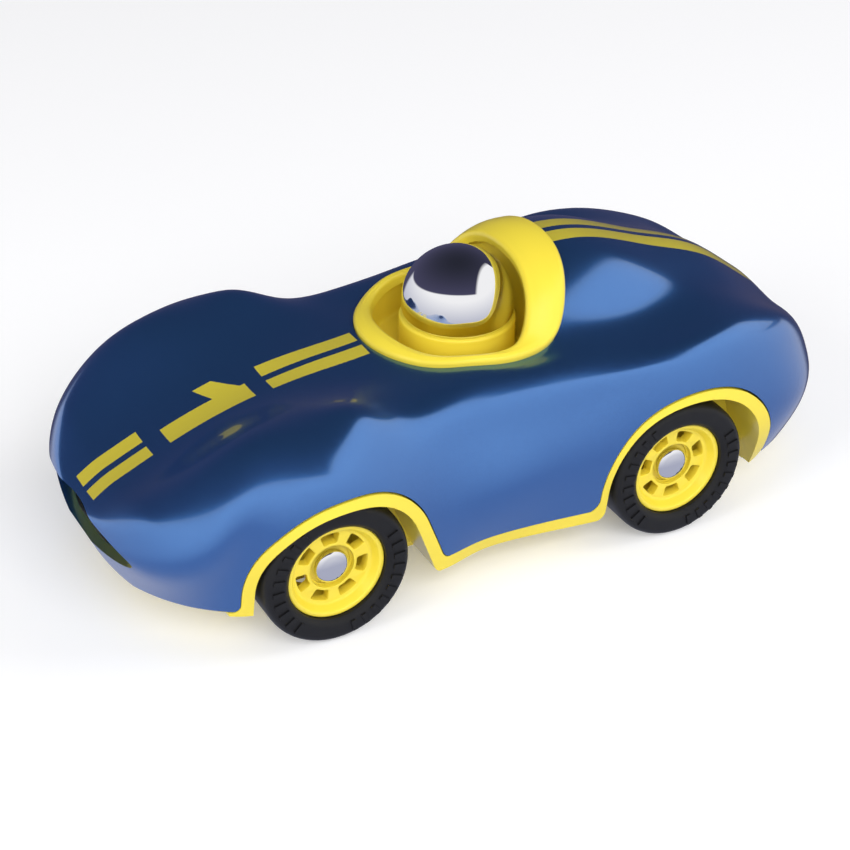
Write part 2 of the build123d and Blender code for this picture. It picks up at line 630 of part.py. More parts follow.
def tyre(axle_x):
    """Rubber tyre with rounded shoulders, seated between the rim's flanges."""
    outer, inner = TYRE_FACE_Y, TYRE_FACE_Y - TYRE_WIDTH
    lip = RIM_FACE_Y - RIM_FLANGE
    tread, shoulder = TYRE_RADIUS, TYRE_SHOULDER
    profile = [
        (TYRE_BEAD_RADIUS, inner), (TYRE_BEAD_RADIUS, lip), (RIM_RADIUS + SEAT_GAP, lip),
        (RIM_RADIUS + 1.2, outer), (tread - shoulder, outer),
        (tread - 0.3 * shoulder, outer - 0.4 * shoulder), (tread, outer - shoulder),
        (tread, inner + shoulder), (tread - 0.3 * shoulder, inner + 0.4 * shoulder),
        (tread - shoulder, inner),
    ]
    return turned(profile, axle_x)


def rim(axle_x, phase):
    """Wheel rim: barrel with two flanges, dished web with windows, recessed hub."""
    face, inner = RIM_FACE_Y, TYRE_FACE_Y - TYRE_WIDTH
    barrel = TYRE_BEAD_RADIUS - PRESS_GAP
    flange_y = face - RIM_FLANGE + PRESS_GAP
    web_out = face - RIM_DISH
    web_in = web_out - RIM_WEB
    web_edge = barrel - RIM_BARREL_WALL
    seat = web_out - HUB_RECESS
    profile = [
        (AXLE_RADIUS, HUB_INNER_Y), (HUB_RADIUS, HUB_INNER_Y), (HUB_RADIUS, web_in),
        (web_edge, web_in), (web_edge, inner), (barrel, inner), (barrel, flange_y),
        (RIM_RADIUS, flange_y), (RIM_RADIUS - 0.3, face), (RIM_RADIUS - 0.9, face),
        (web_edge, web_out), (HUB_RECESS_RADIUS, web_out), (HUB_RECESS_RADIUS, seat),
        (AXLE_RADIUS, seat),
    ]
    wheel = turned(profile, axle_x)
    for i in range(RIM_WINDOWS):
        wheel -= window(axle_x, phase + 360 * i / RIM_WINDOWS, web_in - 1, web_out + 1)
    return wheel


def window(axle_x, angle, low_y, high_y):
    """One slot of the rim: a stretch of a ring, cut square at its ends."""
    ring = Circle(WINDOW_OUTER_RADIUS) - Circle(WINDOW_INNER_RADIUS)
    half = math.radians(WINDOW_ANGLE / 2)
    reach = 2 * WINDOW_OUTER_RADIUS
    wedge = Face(Wire.make_polygon([
        Vector(0, 0), Vector(reach * math.cos(half), reach * math.sin(half)),
        Vector(reach * math.cos(half), -reach * math.sin(half)),
    ], close=True))
    slot = extrude((ring & wedge).face(), high_y - low_y)
    return Pos(axle_x, high_y, AXLE_Z) * Rot(0, -angle, 0) * Rot(90, 0, 0) * slot


def hub_cap(axle_x):
    """Bright domed cap, pressed on the end of the axle that comes out of the hub."""
    seat = RIM_FACE_Y - RIM_DISH - HUB_RECESS + SEAT_GAP
    rise = seat + CAP_SKIRT
    bore_end = seat + AXLE_STICKS_OUT
    profile = [
        (AXLE_RADIUS, seat), (CAP_RADIUS, seat), (CAP_RADIUS, rise),
        (CAP_RADIUS * 0.7, rise + CAP_DOME * 0.7), (0, rise + CAP_DOME), (0, bore_end),
        (AXLE_RADIUS, bore_end),
    ]
    return turned(profile, axle_x)


def axle(axle_x):
    """Steel axle that ends inside the two caps."""
    end = RIM_FACE_Y - RIM_DISH - HUB_RECESS + AXLE_STICKS_OUT
    return cross_rod(axle_x, AXLE_Z, AXLE_RADIUS - PRESS_GAP, -end, end)


# ------------------------------------------------------------ pull-back motor
def gear_centre(start, angle, teeth_a, teeth_b):
    """Centre of a gear that meshes with one at start, in direction angle."""
    distance = GEAR_MODULE * (teeth_a + teeth_b) / 2
    turn = math.radians(angle)
    return start[0] + distance * math.cos(turn), start[1] + distance * math.sin(turn)


AXLE_CENTRE = (REAR_AXLE_X, AXLE_Z)
IDLER_CENTRE = gear_centre(AXLE_CENTRE, IDLER_ANGLE, PINION_TEETH, IDLER_TEETH)
BARREL_CENTRE = gear_centre(IDLER_CENTRE, BARREL_ANGLE, IDLER_PINION_TEETH, BARREL_TEETH)


def gear(centre, teeth, tooth_angle, low_y, width, bore):
    """Involute spur gear about Y, with one tooth pointing at tooth_angle."""
    pitch = GEAR_MODULE * teeth / 2
    base = pitch * math.cos(math.radians(PRESSURE_ANGLE))
    tip, root = pitch + ADDENDUM, pitch - DEDENDUM

    def unwound(radius):
        lean = math.acos(min(1.0, base / radius))
        return math.tan(lean) - lean

    thickness = (math.pi * GEAR_MODULE / 2 - BACKLASH) / pitch / 2
    start = max(base, root)
    flank = [start, (start + tip) / 2, tip]
    half_angles = [thickness + unwound(pitch) - unwound(radius) for radius in flank]
    side = list(zip(flank, half_angles))
    if root < base - ADDENDUM / 4:
        side = [(root, half_angles[0])] + side
    points = []
    for tooth in range(teeth):
        middle = math.radians(tooth_angle) + 2 * math.pi * tooth / teeth
        outline = [(r, middle - a) for r, a in side] + [(r, middle + a) for r, a in reversed(side)]
        points += [Vector(r * math.cos(a), 0, r * math.sin(a)) for r, a in outline]
    face = Face(Wire.make_polygon(points, close=True))
    blank = Pos(centre[0], low_y, centre[1]) * Solid.extrude(face, Vector(0, width, 0))
    return blank - cross_rod(*centre, bore, low_y - 1, low_y + width + 1)


def axle_pinion():
    """Pinion pressed on the rear axle."""
    return gear(
        AXLE_CENTRE, PINION_TEETH, IDLER_ANGLE, DRIVE_GEAR_Y - 0.4, DRIVE_GEAR_WIDTH + 0.8, AXLE_RADIUS
    )


def idler_gear():
    """Compound gear: the axle's pinion drives the large one, the small one winds."""
    facing = IDLER_ANGLE + 180 + 180 / IDLER_TEETH
    bore = IDLER_PIN_RADIUS + RUNNING_FIT
    large = gear(IDLER_CENTRE, IDLER_TEETH, facing, DRIVE_GEAR_Y, DRIVE_GEAR_WIDTH, bore)
    low = BARREL_GEAR_Y + SEAT_GAP
    small = gear(IDLER_CENTRE, IDLER_PINION_TEETH, BARREL_ANGLE, low, DRIVE_GEAR_Y - low, bore)
    return large + small


def spring_barrel():
    """Spring drum with the gear that the idler drives."""
    facing = BARREL_ANGLE + 180 + 180 / BARREL_TEETH
    bore = ARBOR_RADIUS + RUNNING_FIT
    wheel = gear(BARREL_CENTRE, BARREL_TEETH, facing, BARREL_GEAR_Y, BARREL_GEAR_WIDTH, bore)
    low = BARREL_GEAR_Y - DRUM_DEPTH
    drum = cross_rod(*BARREL_CENTRE, DRUM_RADIUS, low, BARREL_GEAR_Y)
    drum -= cross_rod(*BARREL_CENTRE, DRUM_RADIUS - DRUM_WALL, low - 1, BARREL_GEAR_Y - DRUM_WALL)
    drum -= cross_rod(*BARREL_CENTRE, bore, low - 1, BARREL_GEAR_Y + 1)
    return wheel + drum


def mainspring():
    """Wound strip from the arbor out to the wall of the drum."""
    first = ARBOR_RADIUS + 0.25
    last = DRUM_RADIUS - DRUM_WALL - SPRING_STRIP - 0.15
    steps = SPRING_STEPS * SPRING_TURNS
    centre = Vector(BARREL_CENTRE[0], 0, BARREL_CENTRE[1])
    sides = []
    for thickness in (0, SPRING_STRIP):
        points = []
        for i in range(steps + 1):
            radius = first + (last - first) * i / steps + thickness
            turn = 2 * math.pi * SPRING_TURNS * i / steps
            points.append(centre + Vector(radius * math.cos(turn), 0, radius * math.sin(turn)))
        sides.append(points)
    face = Face(Wire.make_polygon(sides[0] + sides[1][::-1], close=True))
    low = BARREL_GEAR_Y - DRUM_DEPTH + 0.2
    height = DRUM_DEPTH - DRUM_WALL - 0.4
    return Pos(0, low, 0) * Solid.extrude(face, Vector(0, height, 0))


def idler_pin():
    """Steel pin that carries the idler."""
    return cross_rod(*IDLER_CENTRE, IDLER_PIN_RADIUS, -MOTOR_HALF_WIDTH, MOTOR_HALF_WIDTH)


def spring_arbor():
    """Fixed arbor in the middle of the spring barrel."""
    return cross_rod(*BARREL_CENTRE, ARBOR_RADIUS, -MOTOR_HALF_WIDTH, MOTOR_HALF_WIDTH)


def motor_box():
    """Lowest and highest corner of the motor housing's inside, seen from the side."""
    tip = GEAR_MODULE * IDLER_TEETH / 2 + ADDENDUM + MOTOR_MARGIN
    barrel_tip = GEAR_MODULE * BARREL_TEETH / 2 + ADDENDUM + MOTOR_MARGIN
    low_x = AXLE_CENTRE[0] - GEAR_MODULE * PINION_TEETH / 2 - ADDENDUM - MOTOR_MARGIN
    high_x = BARREL_CENTRE[0] + barrel_tip
    high_z = max(IDLER_CENTRE[1] + tip, BARREL_CENTRE[1] + barrel_tip)
    return low_x, FLOOR_TOP_Z + SEAT_GAP + MOTOR_WALL, high_x, high_z


def motor_housing(side):
    """One half of the motor housing: a tray with bearing holes."""
    low_x, low_z, high_x, high_z = motor_box()

    def tray(margin, low_y, high_y):
        low = (low_x - margin, low_y, low_z - margin)
        block = box_between(low, (high_x + margin, high_y, high_z + margin))
        corners = block.edges().filter_by(Axis.Y).group_by(Axis.Z)[-1]
        return chamfer(corners, MOTOR_CORNER + margin)

    half = tray(MOTOR_WALL, SEAT_GAP / 2, MOTOR_HALF_WIDTH)
    half -= tray(0, -1, MOTOR_HALF_WIDTH - MOTOR_WALL)
    half -= cross_rod(*AXLE_CENTRE, AXLE_RADIUS + RUNNING_FIT, -FAR, FAR)
    half -= cross_rod(*IDLER_CENTRE, IDLER_PIN_RADIUS + PRESS_GAP, -FAR, FAR)
    half -= cross_rod(*BARREL_CENTRE, ARBOR_RADIUS + PRESS_GAP, -FAR, FAR)
    return half if side > 0 else mirror(half, Plane.XZ)


# ------------------------------------------------------------ assembly
def write(name, *solids):
    """One STEP file for a piece, or for a group of identical pieces."""
    shapes = [solid for shape in solids for solid in shape.solids()]
    piece = shapes[0] if len(shapes) == 1 else Compound(children=shapes)
    export_step(piece, f"parts/{name}.step")


def main():
    """Build every piece and write it."""
    write("body_shell", body_shell())
    write("chassis", chassis())
    write("body_screws", *body_screws())
    write("intake_liner", intake_liner())
    write("cockpit_surround", cockpit_surround())
    write("driver_post", driver_post())
    write("driver_head", driver_head())
    write("driver_screw", driver_screw())
    ends = (("front", FRONT_AXLE_X, FRONT_WINDOW_PHASE), ("rear", REAR_AXLE_X, REAR_WINDOW_PHASE))
    for end, axle_x, phase in ends:
        write(f"{end}_axle", axle(axle_x))
        pieces = {"tyre": tyre(axle_x), "rim": rim(axle_x, phase), "hub_cap": hub_cap(axle_x)}
        for name, left in pieces.items():
            for side, piece in both_sides(left).items():
                write(f"{end}_{'left' if side > 0 else 'right'}_{name}", piece)
    write("axle_pinion", axle_pinion())
    write("idler_gear", idler_gear())
    write("idler_pin", idler_pin())
    write("spring_barrel", spring_barrel())
    write("spring_arbor", spring_arbor())
    write("mainspring", mainspring())
    write("motor_housing_left", motor_housing(1))
    write("motor_housing_right", motor_housing(-1))


main()
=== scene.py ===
"""Looks of a pull-back toy racing car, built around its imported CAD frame.

The car has a lacquered metallic blue body, yellow mouldings, rubber tyres and a
mirror-domed driver. Lengths in the classes are millimetres, as in the CAD part, and
every mesh is written in metres: +X to the nose, +Y to the car's left, +Z up. Only the
camera, the softboxes and the scales and heights of the finishes are given in metres.
"""

import logging
import math
from dataclasses import dataclass, field
from enum import Enum
from typing import Callable, Sequence

import bmesh
import bpy
import numpy as np
from mathutils import Matrix, Vector


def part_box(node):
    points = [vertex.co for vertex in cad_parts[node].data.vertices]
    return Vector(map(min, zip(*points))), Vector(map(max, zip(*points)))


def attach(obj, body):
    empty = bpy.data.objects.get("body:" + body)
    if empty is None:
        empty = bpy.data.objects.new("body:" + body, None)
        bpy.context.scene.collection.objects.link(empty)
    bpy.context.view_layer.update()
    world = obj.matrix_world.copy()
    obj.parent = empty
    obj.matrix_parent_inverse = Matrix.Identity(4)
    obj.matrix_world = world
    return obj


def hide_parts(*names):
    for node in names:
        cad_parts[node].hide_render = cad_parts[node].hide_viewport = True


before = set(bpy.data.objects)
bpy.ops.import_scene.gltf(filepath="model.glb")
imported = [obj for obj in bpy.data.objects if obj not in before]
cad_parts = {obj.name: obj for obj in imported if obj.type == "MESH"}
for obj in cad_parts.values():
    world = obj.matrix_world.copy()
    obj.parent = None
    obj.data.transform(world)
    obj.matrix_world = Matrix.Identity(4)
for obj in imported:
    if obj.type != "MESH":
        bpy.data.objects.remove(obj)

LOG = logging.getLogger("car")
MM = 0.001
AXLE_Z = 15.3
FRONT_AXLE_X = 42.5
REAR_AXLE_X = -34.9
SHELL_WALL = 2.2
PARTING_Z = 10.0
PANEL_GAP = 0.15
PAST_ENDS = 100.0
PAST_SIDES = 60.0

Point = Sequence[float]
Face = Sequence[int]


class Side(Enum):
    """Side of the car, with the sign of Y there."""

    LEFT = 1
    RIGHT = -1


class End(Enum):
    """End of the car that a pair of wheels is at."""

    FRONT = "front"
    REAR = "rear"

    @property
    def axle_x(self) -> float:
        """Place of this end's axle along the car."""
        return FRONT_AXLE_X if self is End.FRONT else REAR_AXLE_X


class Cut(Enum):
    """What is kept of a piece and the tool put to it."""

    AWAY = "DIFFERENCE"
    COMMON = "INTERSECT"
    JOIN = "UNION"


# ------------------------------------------------------------------- shaders
class Value:
    """A node's output socket that can be used in Python arithmetic."""

    def __init__(self, tree: "ShaderTree", socket: bpy.types.NodeSocket) -> None:
        """Keep the socket and the tree it belongs to."""
        self.tree = tree
        self.socket = socket

    def _math(self, operation: str, *values: object) -> "Value":
        """Add one Math node."""
        return self.tree.node("ShaderNodeMath", {"operation": operation}, dict(enumerate(values)))

    def __add__(self, other: object) -> "Value":
        """Self plus other."""
        return self._math("ADD", self, other)

    __radd__ = __add__

    def __sub__(self, other: object) -> "Value":
        """Self minus other."""
        return self._math("SUBTRACT", self, other)

    def __rsub__(self, other: object) -> "Value":
        """Other minus self."""
        return self._math("SUBTRACT", other, self)

    def __mul__(self, other: object) -> "Value":
        """Self times other."""
        return self._math("MULTIPLY", self, other)

    __rmul__ = __mul__

    def __gt__(self, other: object) -> "Value":
        """1 where self is above other."""
        return self._math("GREATER_THAN", self, other)

    def __lt__(self, other: object) -> "Value":
        """1 where self is below other."""
        return self._math("LESS_THAN", self, other)

    def __abs__(self) -> "Value":
        """Size without sign."""
        return self._math("ABSOLUTE", self)

    def at_most(self, other: object) -> "Value":
        """The smaller of self and other."""
        return self._math("MINIMUM", self, other)

    def at_least(self, other: object) -> "Value":
        """The larger of self and other."""
        return self._math("MAXIMUM", self, other)

    def clamped(self) -> "Value":
        """Self kept between 0 and 1."""
        return self.at_least(0.0).at_most(1.0)

    def between(self, low: float, high: float) -> "Value":
        """1 where self lies between low and high."""
        return (self > low) * (self < high)


class ShaderTree:
    """Node tree of a material or the world, built from Python expressions."""

    def __init__(self, owner: bpy.types.ID) -> None:
        """Start an empty tree.

        Args:
            owner: The material or the world that the tree belongs to.
        """
        self.owner = owner
        owner.use_nodes = True
        owner.node_tree.nodes.clear()

    def node(self, kind: str, settings: dict, inputs: dict, output: object = 0) -> Value:
        """Add a node.

        Args:
            kind: The node's type.
            settings: Attributes that are set before the sockets.
            inputs: Values or links by socket name or number.
            output: Name or number of the socket to return.

        Returns:
            The chosen output.
        """
        made = self.owner.node_tree.nodes.new(kind)
        for key, value in settings.items():
            setattr(made, key, value)
        for key, value in inputs.items():
            self._feed(made.inputs[key], value)
        return Value(self, made.outputs[output])

    def _feed(self, socket: bpy.types.NodeSocket, value: object) -> None:
        """Link a value to a socket, or set the socket to it.

        Args:
            socket: The input socket.
            value: A Value to link, or a constant.
        """
        if isinstance(value, Value):
            self.owner.node_tree.links.new(value.socket, socket)
        else:
            socket.default_value = value

    def place(self) -> tuple[Value, Value, Value]:
        """Position on the piece in millimetres.

        Returns:
            X, Y and Z.
        """
        return tuple(value * (1 / MM) for value in self.parts("Object"))

    def parts(self, coordinates: str) -> tuple[Value, Value, Value]:
        """Split one kind of texture coordinates.

        Args:
            coordinates: Name of the Texture Coordinate output.

        Returns:
            X, Y and Z.
        """
        where = self.node("ShaderNodeTexCoord", {}, {}, coordinates)
        split = self.node("ShaderNodeSeparateXYZ", {}, {0: where})
        return tuple(Value(self, output) for output in split.socket.node.outputs)

    def seen(self) -> Value:
        """Tell what is looked at from the light that falls.

        Returns:
            1 for what the camera, mirrors and glass see, 0 for falling light.
        """
        path = self.node("ShaderNodeLightPath", {}, {}).socket.node.outputs
        names = ("Is Camera Ray", "Is Glossy Ray", "Is Transmission Ray")
        camera, glossy, through = (Value(self, path[name]) for name in names)
        return (camera + glossy + through).at_most(1.0)

    def noise(self, scale: float, detail: float = 2.0) -> Value:
        """Noise from 0 to 1 over the piece.

        Args:
            scale: Cells per metre.
            detail: Octaves.

        Returns:
            The noise value.
        """
        where = self.node("ShaderNodeTexCoord", {}, {}, "Object")
        inputs = {"Vector": where, "Scale": scale, "Detail": detail}
        return self.node("ShaderNodeTexNoise", {}, inputs, "Fac")

    def mix(self, share: Value, first: object, second: object) -> Value:
        """Blend two colours.

        Args:
            share: 0 gives the first colour, 1 the second.
            first: First colour.
            second: Second colour.

        Returns:
            The blended colour.
        """
        made = self.node("ShaderNodeMix", {"data_type": "RGBA"}, {}, 2).socket.node
        self._feed(made.inputs[0], share)
        self._feed(made.inputs[6], first)
        self._feed(made.inputs[7], second)
        return Value(self, made.outputs[2])

    def bump(self, height: Value, distance: float, strength: float = 1.0) -> Value:
        """Normal of a surface raised by height.

        Args:
            height: Height share, 0 to 1.
            distance: Height in metres at share 1.
            strength: How much of the bump shows.

        Returns:
            The normal.
        """
        inputs = {"Height": height, "Distance": distance, "Strength": strength}
        return self.node("ShaderNodeBump", {}, inputs)

    def surface(self, **inputs: object) -> bpy.types.Material:
        """Close the tree with a Principled surface.

        Args:
            **inputs: Socket values by name, with underscores for spaces.

        Returns:
            The finished material.
        """
        named = {key.replace("_", " "): value for key, value in inputs.items()}
        shader = self.node("ShaderNodeBsdfPrincipled", {}, named)
        self.node_output(shader)
        return self.owner

    def node_output(self, shader: Value) -> None:
        """Link a shader to the tree's output.

        Args:
            shader: The shader that ends the tree.
        """
        kind = "World" if isinstance(self.owner, bpy.types.World) else "Material"
        made = self.owner.node_tree.nodes.new("ShaderNodeOutput" + kind)
        self.owner.node_tree.links.new(shader.socket, made.inputs["Surface"])


def colour(red: float, green: float, blue: float) -> tuple[float, float, float, float]:
    """Opaque colour from scene-linear shares."""
    return (red, green, blue, 1.0)


@dataclass(frozen=True)
class Lacquer:
    """Metallic blue paint under clear lacquer, with yellow stripes and a number."""

    base: tuple = colour(0.085, 0.255, 0.62)
    deep: tuple = colour(0.050, 0.165, 0.48)
    print_colour: tuple = colour(0.56, 0.47, 0.035)
    metal: float = 0.88
    roughness: float = 0.24
    print_roughness: float = 0.46
    coat_roughness: float = 0.02
    flake_scale: float = 5200.0
    ripple_scale: float = 2600.0
    ripple_height: float = 0.00002
    stripe_inner: float = 0.9
    stripe_outer: float = 4.6
    low_z: float = 24.0
    stripes: tuple = ((66.7, 79.3), (20.3, 41.3), (-78.0, -20.0))
    stem: tuple = (44.9, 63.0, -1.1, 4.4)
    flag: tuple = ((44.8, 0.2), (51.6, -0.9), (54.0, -5.9), (50.0, -6.0))

    def print_mask(self, tree: ShaderTree) -> Value:
        """Where the print lies on the top of the body.

        Args:
            tree: The material's tree.

        Returns:
            1 on the print, 0 elsewhere.
        """
        x, y, z = tree.place()
        mask = None
        across = abs(y).between(self.stripe_inner, self.stripe_outer)
        for low, high in self.stripes:
            bar = x.between(low, high) * across
            mask = bar if mask is None else mask.at_least(bar)
        low_x, high_x, low_y, high_y = self.stem
        mask = mask.at_least(x.between(low_x, high_x) * y.between(low_y, high_y))
        flag = None
        ends = self.flag
        for (ax, ay), (bx, by) in zip(ends, ends[1:] + ends[:1]):
            side = (x - ax) * (by - ay) - (y - ay) * (bx - ax) > 0.0
            flag = side if flag is None else flag * side
        return mask.at_least(flag) * (z > self.low_z)

    def material(self) -> bpy.types.Material:
        """Build the finish.

        Returns:
            The material.
        """
        tree = ShaderTree(bpy.data.materials.new("blue lacquer"))
        flakes = tree.noise(self.flake_scale, 0.0)
        paint = tree.mix(flakes, self.deep, self.base)
        mask = self.print_mask(tree)
        return tree.surface(
            Base_Color=tree.mix(mask, paint, self.print_colour),
            Metallic=self.metal - mask * self.metal,
            Roughness=mask * (self.print_roughness - self.roughness) + self.roughness,
            Coat_Weight=1.0,
            Coat_Roughness=self.coat_roughness,
            Coat_IOR=1.5,
            Normal=tree.bump(tree.noise(self.ripple_scale, 1.0), self.ripple_height, 0.25),
        )


@dataclass(frozen=True)
class Moulding:
    """Coloured moulded plastic with a soft gloss."""

    name: str
    tone: tuple
    roughness: float = 0.28
    coat: float = 0.25
    coat_roughness: float = 0.08
    haze_scale: float = 900.0
    haze_share: float = 0.05
    grain_height: float = 0.00001

    def material(self) -> bpy.types.Material:
        """Build the finish.

        Returns:
            The material.
        """
        tree = ShaderTree(bpy.data.materials.new(self.name))
        haze = tree.noise(self.haze_scale)
        return tree.surface(
            Base_Color=self.tone,
            Roughness=haze * self.haze_share + self.roughness,
            Coat_Weight=self.coat,
            Coat_Roughness=self.coat_roughness,
            Normal=tree.bump(haze, self.grain_height, 0.2),
        )


@dataclass(frozen=True)
class Plating:
    """Bright metal: mirror plating or plain steel."""

    name: str
    tone: tuple
    roughness: float
    haze_scale: float = 700.0
    haze_share: float = 0.01

    def material(self) -> bpy.types.Material:
        """Build the finish.

        Returns:
            The material.
        """
        tree = ShaderTree(bpy.data.materials.new(self.name))
        haze = tree.noise(self.haze_scale)
        return tree.surface(
            Base_Color=self.tone,
            Metallic=1.0,
            Roughness=haze * self.haze_share + self.roughness,
        )


@dataclass(frozen=True)
class Rubber:
    """Satin black tyre rubber."""

    tone: tuple = colour(0.006, 0.006, 0.007)
    dust: tuple = colour(0.012, 0.012, 0.013)
    roughness: float = 0.40
    haze_scale: float = 400.0
    haze_share: float = 0.15
    grain_scale: float = 3500.0
    grain_height: float = 0.00003

    def material(self) -> bpy.types.Material:
        """Build the finish.

        Returns:
            The material.
        """
        tree = ShaderTree(bpy.data.materials.new("tyre rubber"))
        haze = tree.noise(self.haze_scale, 4.0)
        return tree.surface(
            Base_Color=tree.mix(haze, self.tone, self.dust),
            Roughness=haze * self.haze_share + self.roughness,
            Specular_IOR_Level=0.35,
            Normal=tree.bump(tree.noise(self.grain_scale, 3.0), self.grain_height, 0.5),
        )


class Finishes:
    """Every material of the car, made once."""

    def __init__(self) -> None:
        """Build the materials."""
        self.blue = Lacquer().material()
        self.yellow = Moulding("yellow moulding", colour(0.90, 0.72, 0.055)).material()
        self.chrome = Plating("mirror plating", colour(0.86, 0.86, 0.88), 0.015).material()
        self.rubber = Rubber().material()
        self.steel = Plating("plain steel", colour(0.56, 0.57, 0.58), 0.28).material()
        self.nylon = Moulding("natural nylon", colour(0.80, 0.79, 0.72), 0.4, 0.0).material()
        self.black = Moulding("black moulding", colour(0.02, 0.02, 0.02), 0.4, 0.0).material()


# ------------------------------------------------------------------- meshes
def mesh_object(name: str, points: Sequence[Point], faces: Sequence[Face]) -> bpy.types.Object:
    """Make an object from points in millimetres.

    Args:
        name: The object's name.
        points: Corner points in millimetres.
        faces: Corner numbers of each face.

    Returns:
        The new object, linked to the scene.
    """
    mesh = bpy.data.meshes.new(name)
    scaled = (np.asarray(points, float) * MM).tolist()
    mesh.from_pydata(scaled, [], [list(face) for face in faces])
    mesh.update()
    made = bpy.data.objects.new(name, mesh)
    bpy.context.scene.collection.objects.link(made)
    return made


def tidy_mesh(
    thing: bpy.types.Object, merge: float = 0.002, outward: bool = True, split: bool = False,
) -> None:
    """Merge doubles and turn the faces outwards.

    Args:
        thing: The object to tidy.
        merge: Merging distance in millimetres.
        outward: Whether to work out the faces' direction again.
        split: Whether to split the faces into triangles first.
    """
    work = bmesh.new()
    work.from_mesh(thing.data)
    if split:
        bmesh.ops.triangulate(work, faces=work.faces)
    bmesh.ops.remove_doubles(work, verts=work.verts, dist=merge * MM)
    bmesh.ops.dissolve_degenerate(work, edges=work.edges, dist=merge * MM * 0.5)
    if outward:
        bmesh.ops.recalc_face_normals(work, faces=work.faces)
    work.to_mesh(thing.data)
    work.free()


def smooth(thing: bpy.types.Object, angle: float = 32.0) -> None:
    """Shade smooth, with edges above the angle left sharp."""
    thing.data.shade_smooth()
    thing.data.set_sharp_from_angle(angle=math.radians(angle))


def settle(thing: bpy.types.Object) -> bpy.types.Object:
    """Turn an object with modifiers into a plain mesh.

    Args:
        thing: The object; it is replaced.

    Returns:
        An object of the same name with no modifiers.
    """
    graph = bpy.context.evaluated_depsgraph_get()
    mesh = bpy.data.meshes.new_from_object(thing.evaluated_get(graph))
    name = thing.name
    bpy.data.objects.remove(thing)
    made = bpy.data.objects.new(name, mesh)
    bpy.context.scene.collection.objects.link(made)
    return made


def dress(thing: bpy.types.Object, finish: bpy.types.Material) -> bpy.types.Object:
    """Give an object one material.

    Args:
        thing: The object.
        finish: Its only material.

    Returns:
        The same object.
    """
    thing.data.materials.clear()
    thing.data.materials.append(finish)
    return thing


def joined(name: str, things: Sequence[bpy.types.Object]) -> bpy.types.Object:
    """Put several objects' meshes in one object.

    Args:
        name: Name of the result.
        things: The objects; they are removed.

    Returns:
        The joined object.
    """
    work = bmesh.new()
    for thing in things:
        work.from_mesh(thing.data)
    mesh = bpy.data.meshes.new(name)
    work.to_mesh(mesh)
    work.free()
    for thing in things:
        bpy.data.objects.remove(thing)
    made = bpy.data.objects.new(name, mesh)
    bpy.context.scene.collection.objects.link(made)
    return made


def cut(thing: bpy.types.Object, tool: bpy.types.Object, keep: Cut) -> bpy.types.Object:
    """Cut an object with another, or join the two.

    Args:
        thing: The object to cut; it is replaced.
        tool: The cutter; it is removed.
        keep: What is kept of them.

    Returns:
        The object that is left.
    """
    modifier = thing.modifiers.new("cut", "BOOLEAN")
    modifier.operation = keep.value
    modifier.solver = "MANIFOLD"
    modifier.object = tool
    made = settle(thing)
    bpy.data.objects.remove(tool)
    if not made.data.polygons:
        raise ValueError(f"nothing is left of {made.name}")
    return made


def prism(name: str, outline: Sequence[Point], step: Point) -> bpy.types.Object:
    """Solid between an outline and its copy moved by step.

    Args:
        name: The object's name.
        outline: Points of the outline in order.
        step: From the outline to its copy.

    Returns:
        The closed solid.
    """
    count = len(outline)
    far = [[p + s for p, s in zip(point, step)] for point in outline]
    faces = [list(range(count)), list(range(2 * count - 1, count - 1, -1))]
    faces += [(i, count + i, count + (i + 1) % count, (i + 1) % count) for i in range(count)]
    made = mesh_object(name, list(outline) + far, faces)
    tidy_mesh(made)
    return made


def block(name: str, low: Point, high: Point) -> bpy.types.Object:
    """Box between two corners.

    Args:
        name: The object's name.
        low: Its lowest corner.
        high: Its highest corner.

    Returns:
        The closed box.
    """
    outline = [(low[0], low[1]), (high[0], low[1]), (high[0], high[1]), (low[0], high[1])]
    return prism(name, [(*p, low[2]) for p in outline], (0, 0, high[2] - low[2]))


def circle(radius: float, steps: int = 96) -> list[tuple[float, float]]:
    """Points of a circle."""
    turns = [2 * math.pi * i / steps for i in range(steps)]
    return [(radius * math.cos(t), radius * math.sin(t)) for t in turns]


def turned(
    name: str, profile: Sequence[Point], place: Callable[[float, float, float], Point], turns: int
) -> bpy.types.Object:
    """Solid turned about an axis.

    Args:
        name: The object's name.
        profile: Closed run of (radius, distance along the axis).
        place: Point at two distances across the axis and one along it.
        turns: Steps round the axis.

    Returns:
        The closed solid.
    """
    points, rings = [], []
    for radius, along in profile:
        arms = circle(radius, turns)[:1 if radius < 1e-6 else turns]
        rings.append((len(points), len(arms)))
        points += [place(first, second, along) for first, second in arms]
    faces = []
    for (first, steps), (second, more) in zip(rings, rings[1:] + rings[:1]):
        for i in range(turns):
            j = (i + 1) % turns
            ring = [first + i % steps, first + j % steps, second + j % more, second + i % more]
            face = list(dict.fromkeys(ring))
            if len(face) > 2:
                faces.append(face)
    made = mesh_object(name, points, faces)
    tidy_mesh(made)
    return made


def lathe(
    name: str, profile: Sequence[Point], axle_x: float, side: Side, turns: int = 96
) -> bpy.types.Object:
    """Solid turned about an axle.

    Args:
        name: The object's name.
        profile: Closed run of (radius, distance from the middle of the car).
        axle_x: Where the axle is along the car.
        side: Which side of the car.
        turns: Steps round the axle.

    Returns:
        The closed solid.
    """
    def place(across: float, up: float, reach: float) -> Point:
        """Point of the solid."""
        return axle_x + across, side.value * reach, AXLE_Z + up

    return turned(name, profile, place, turns)


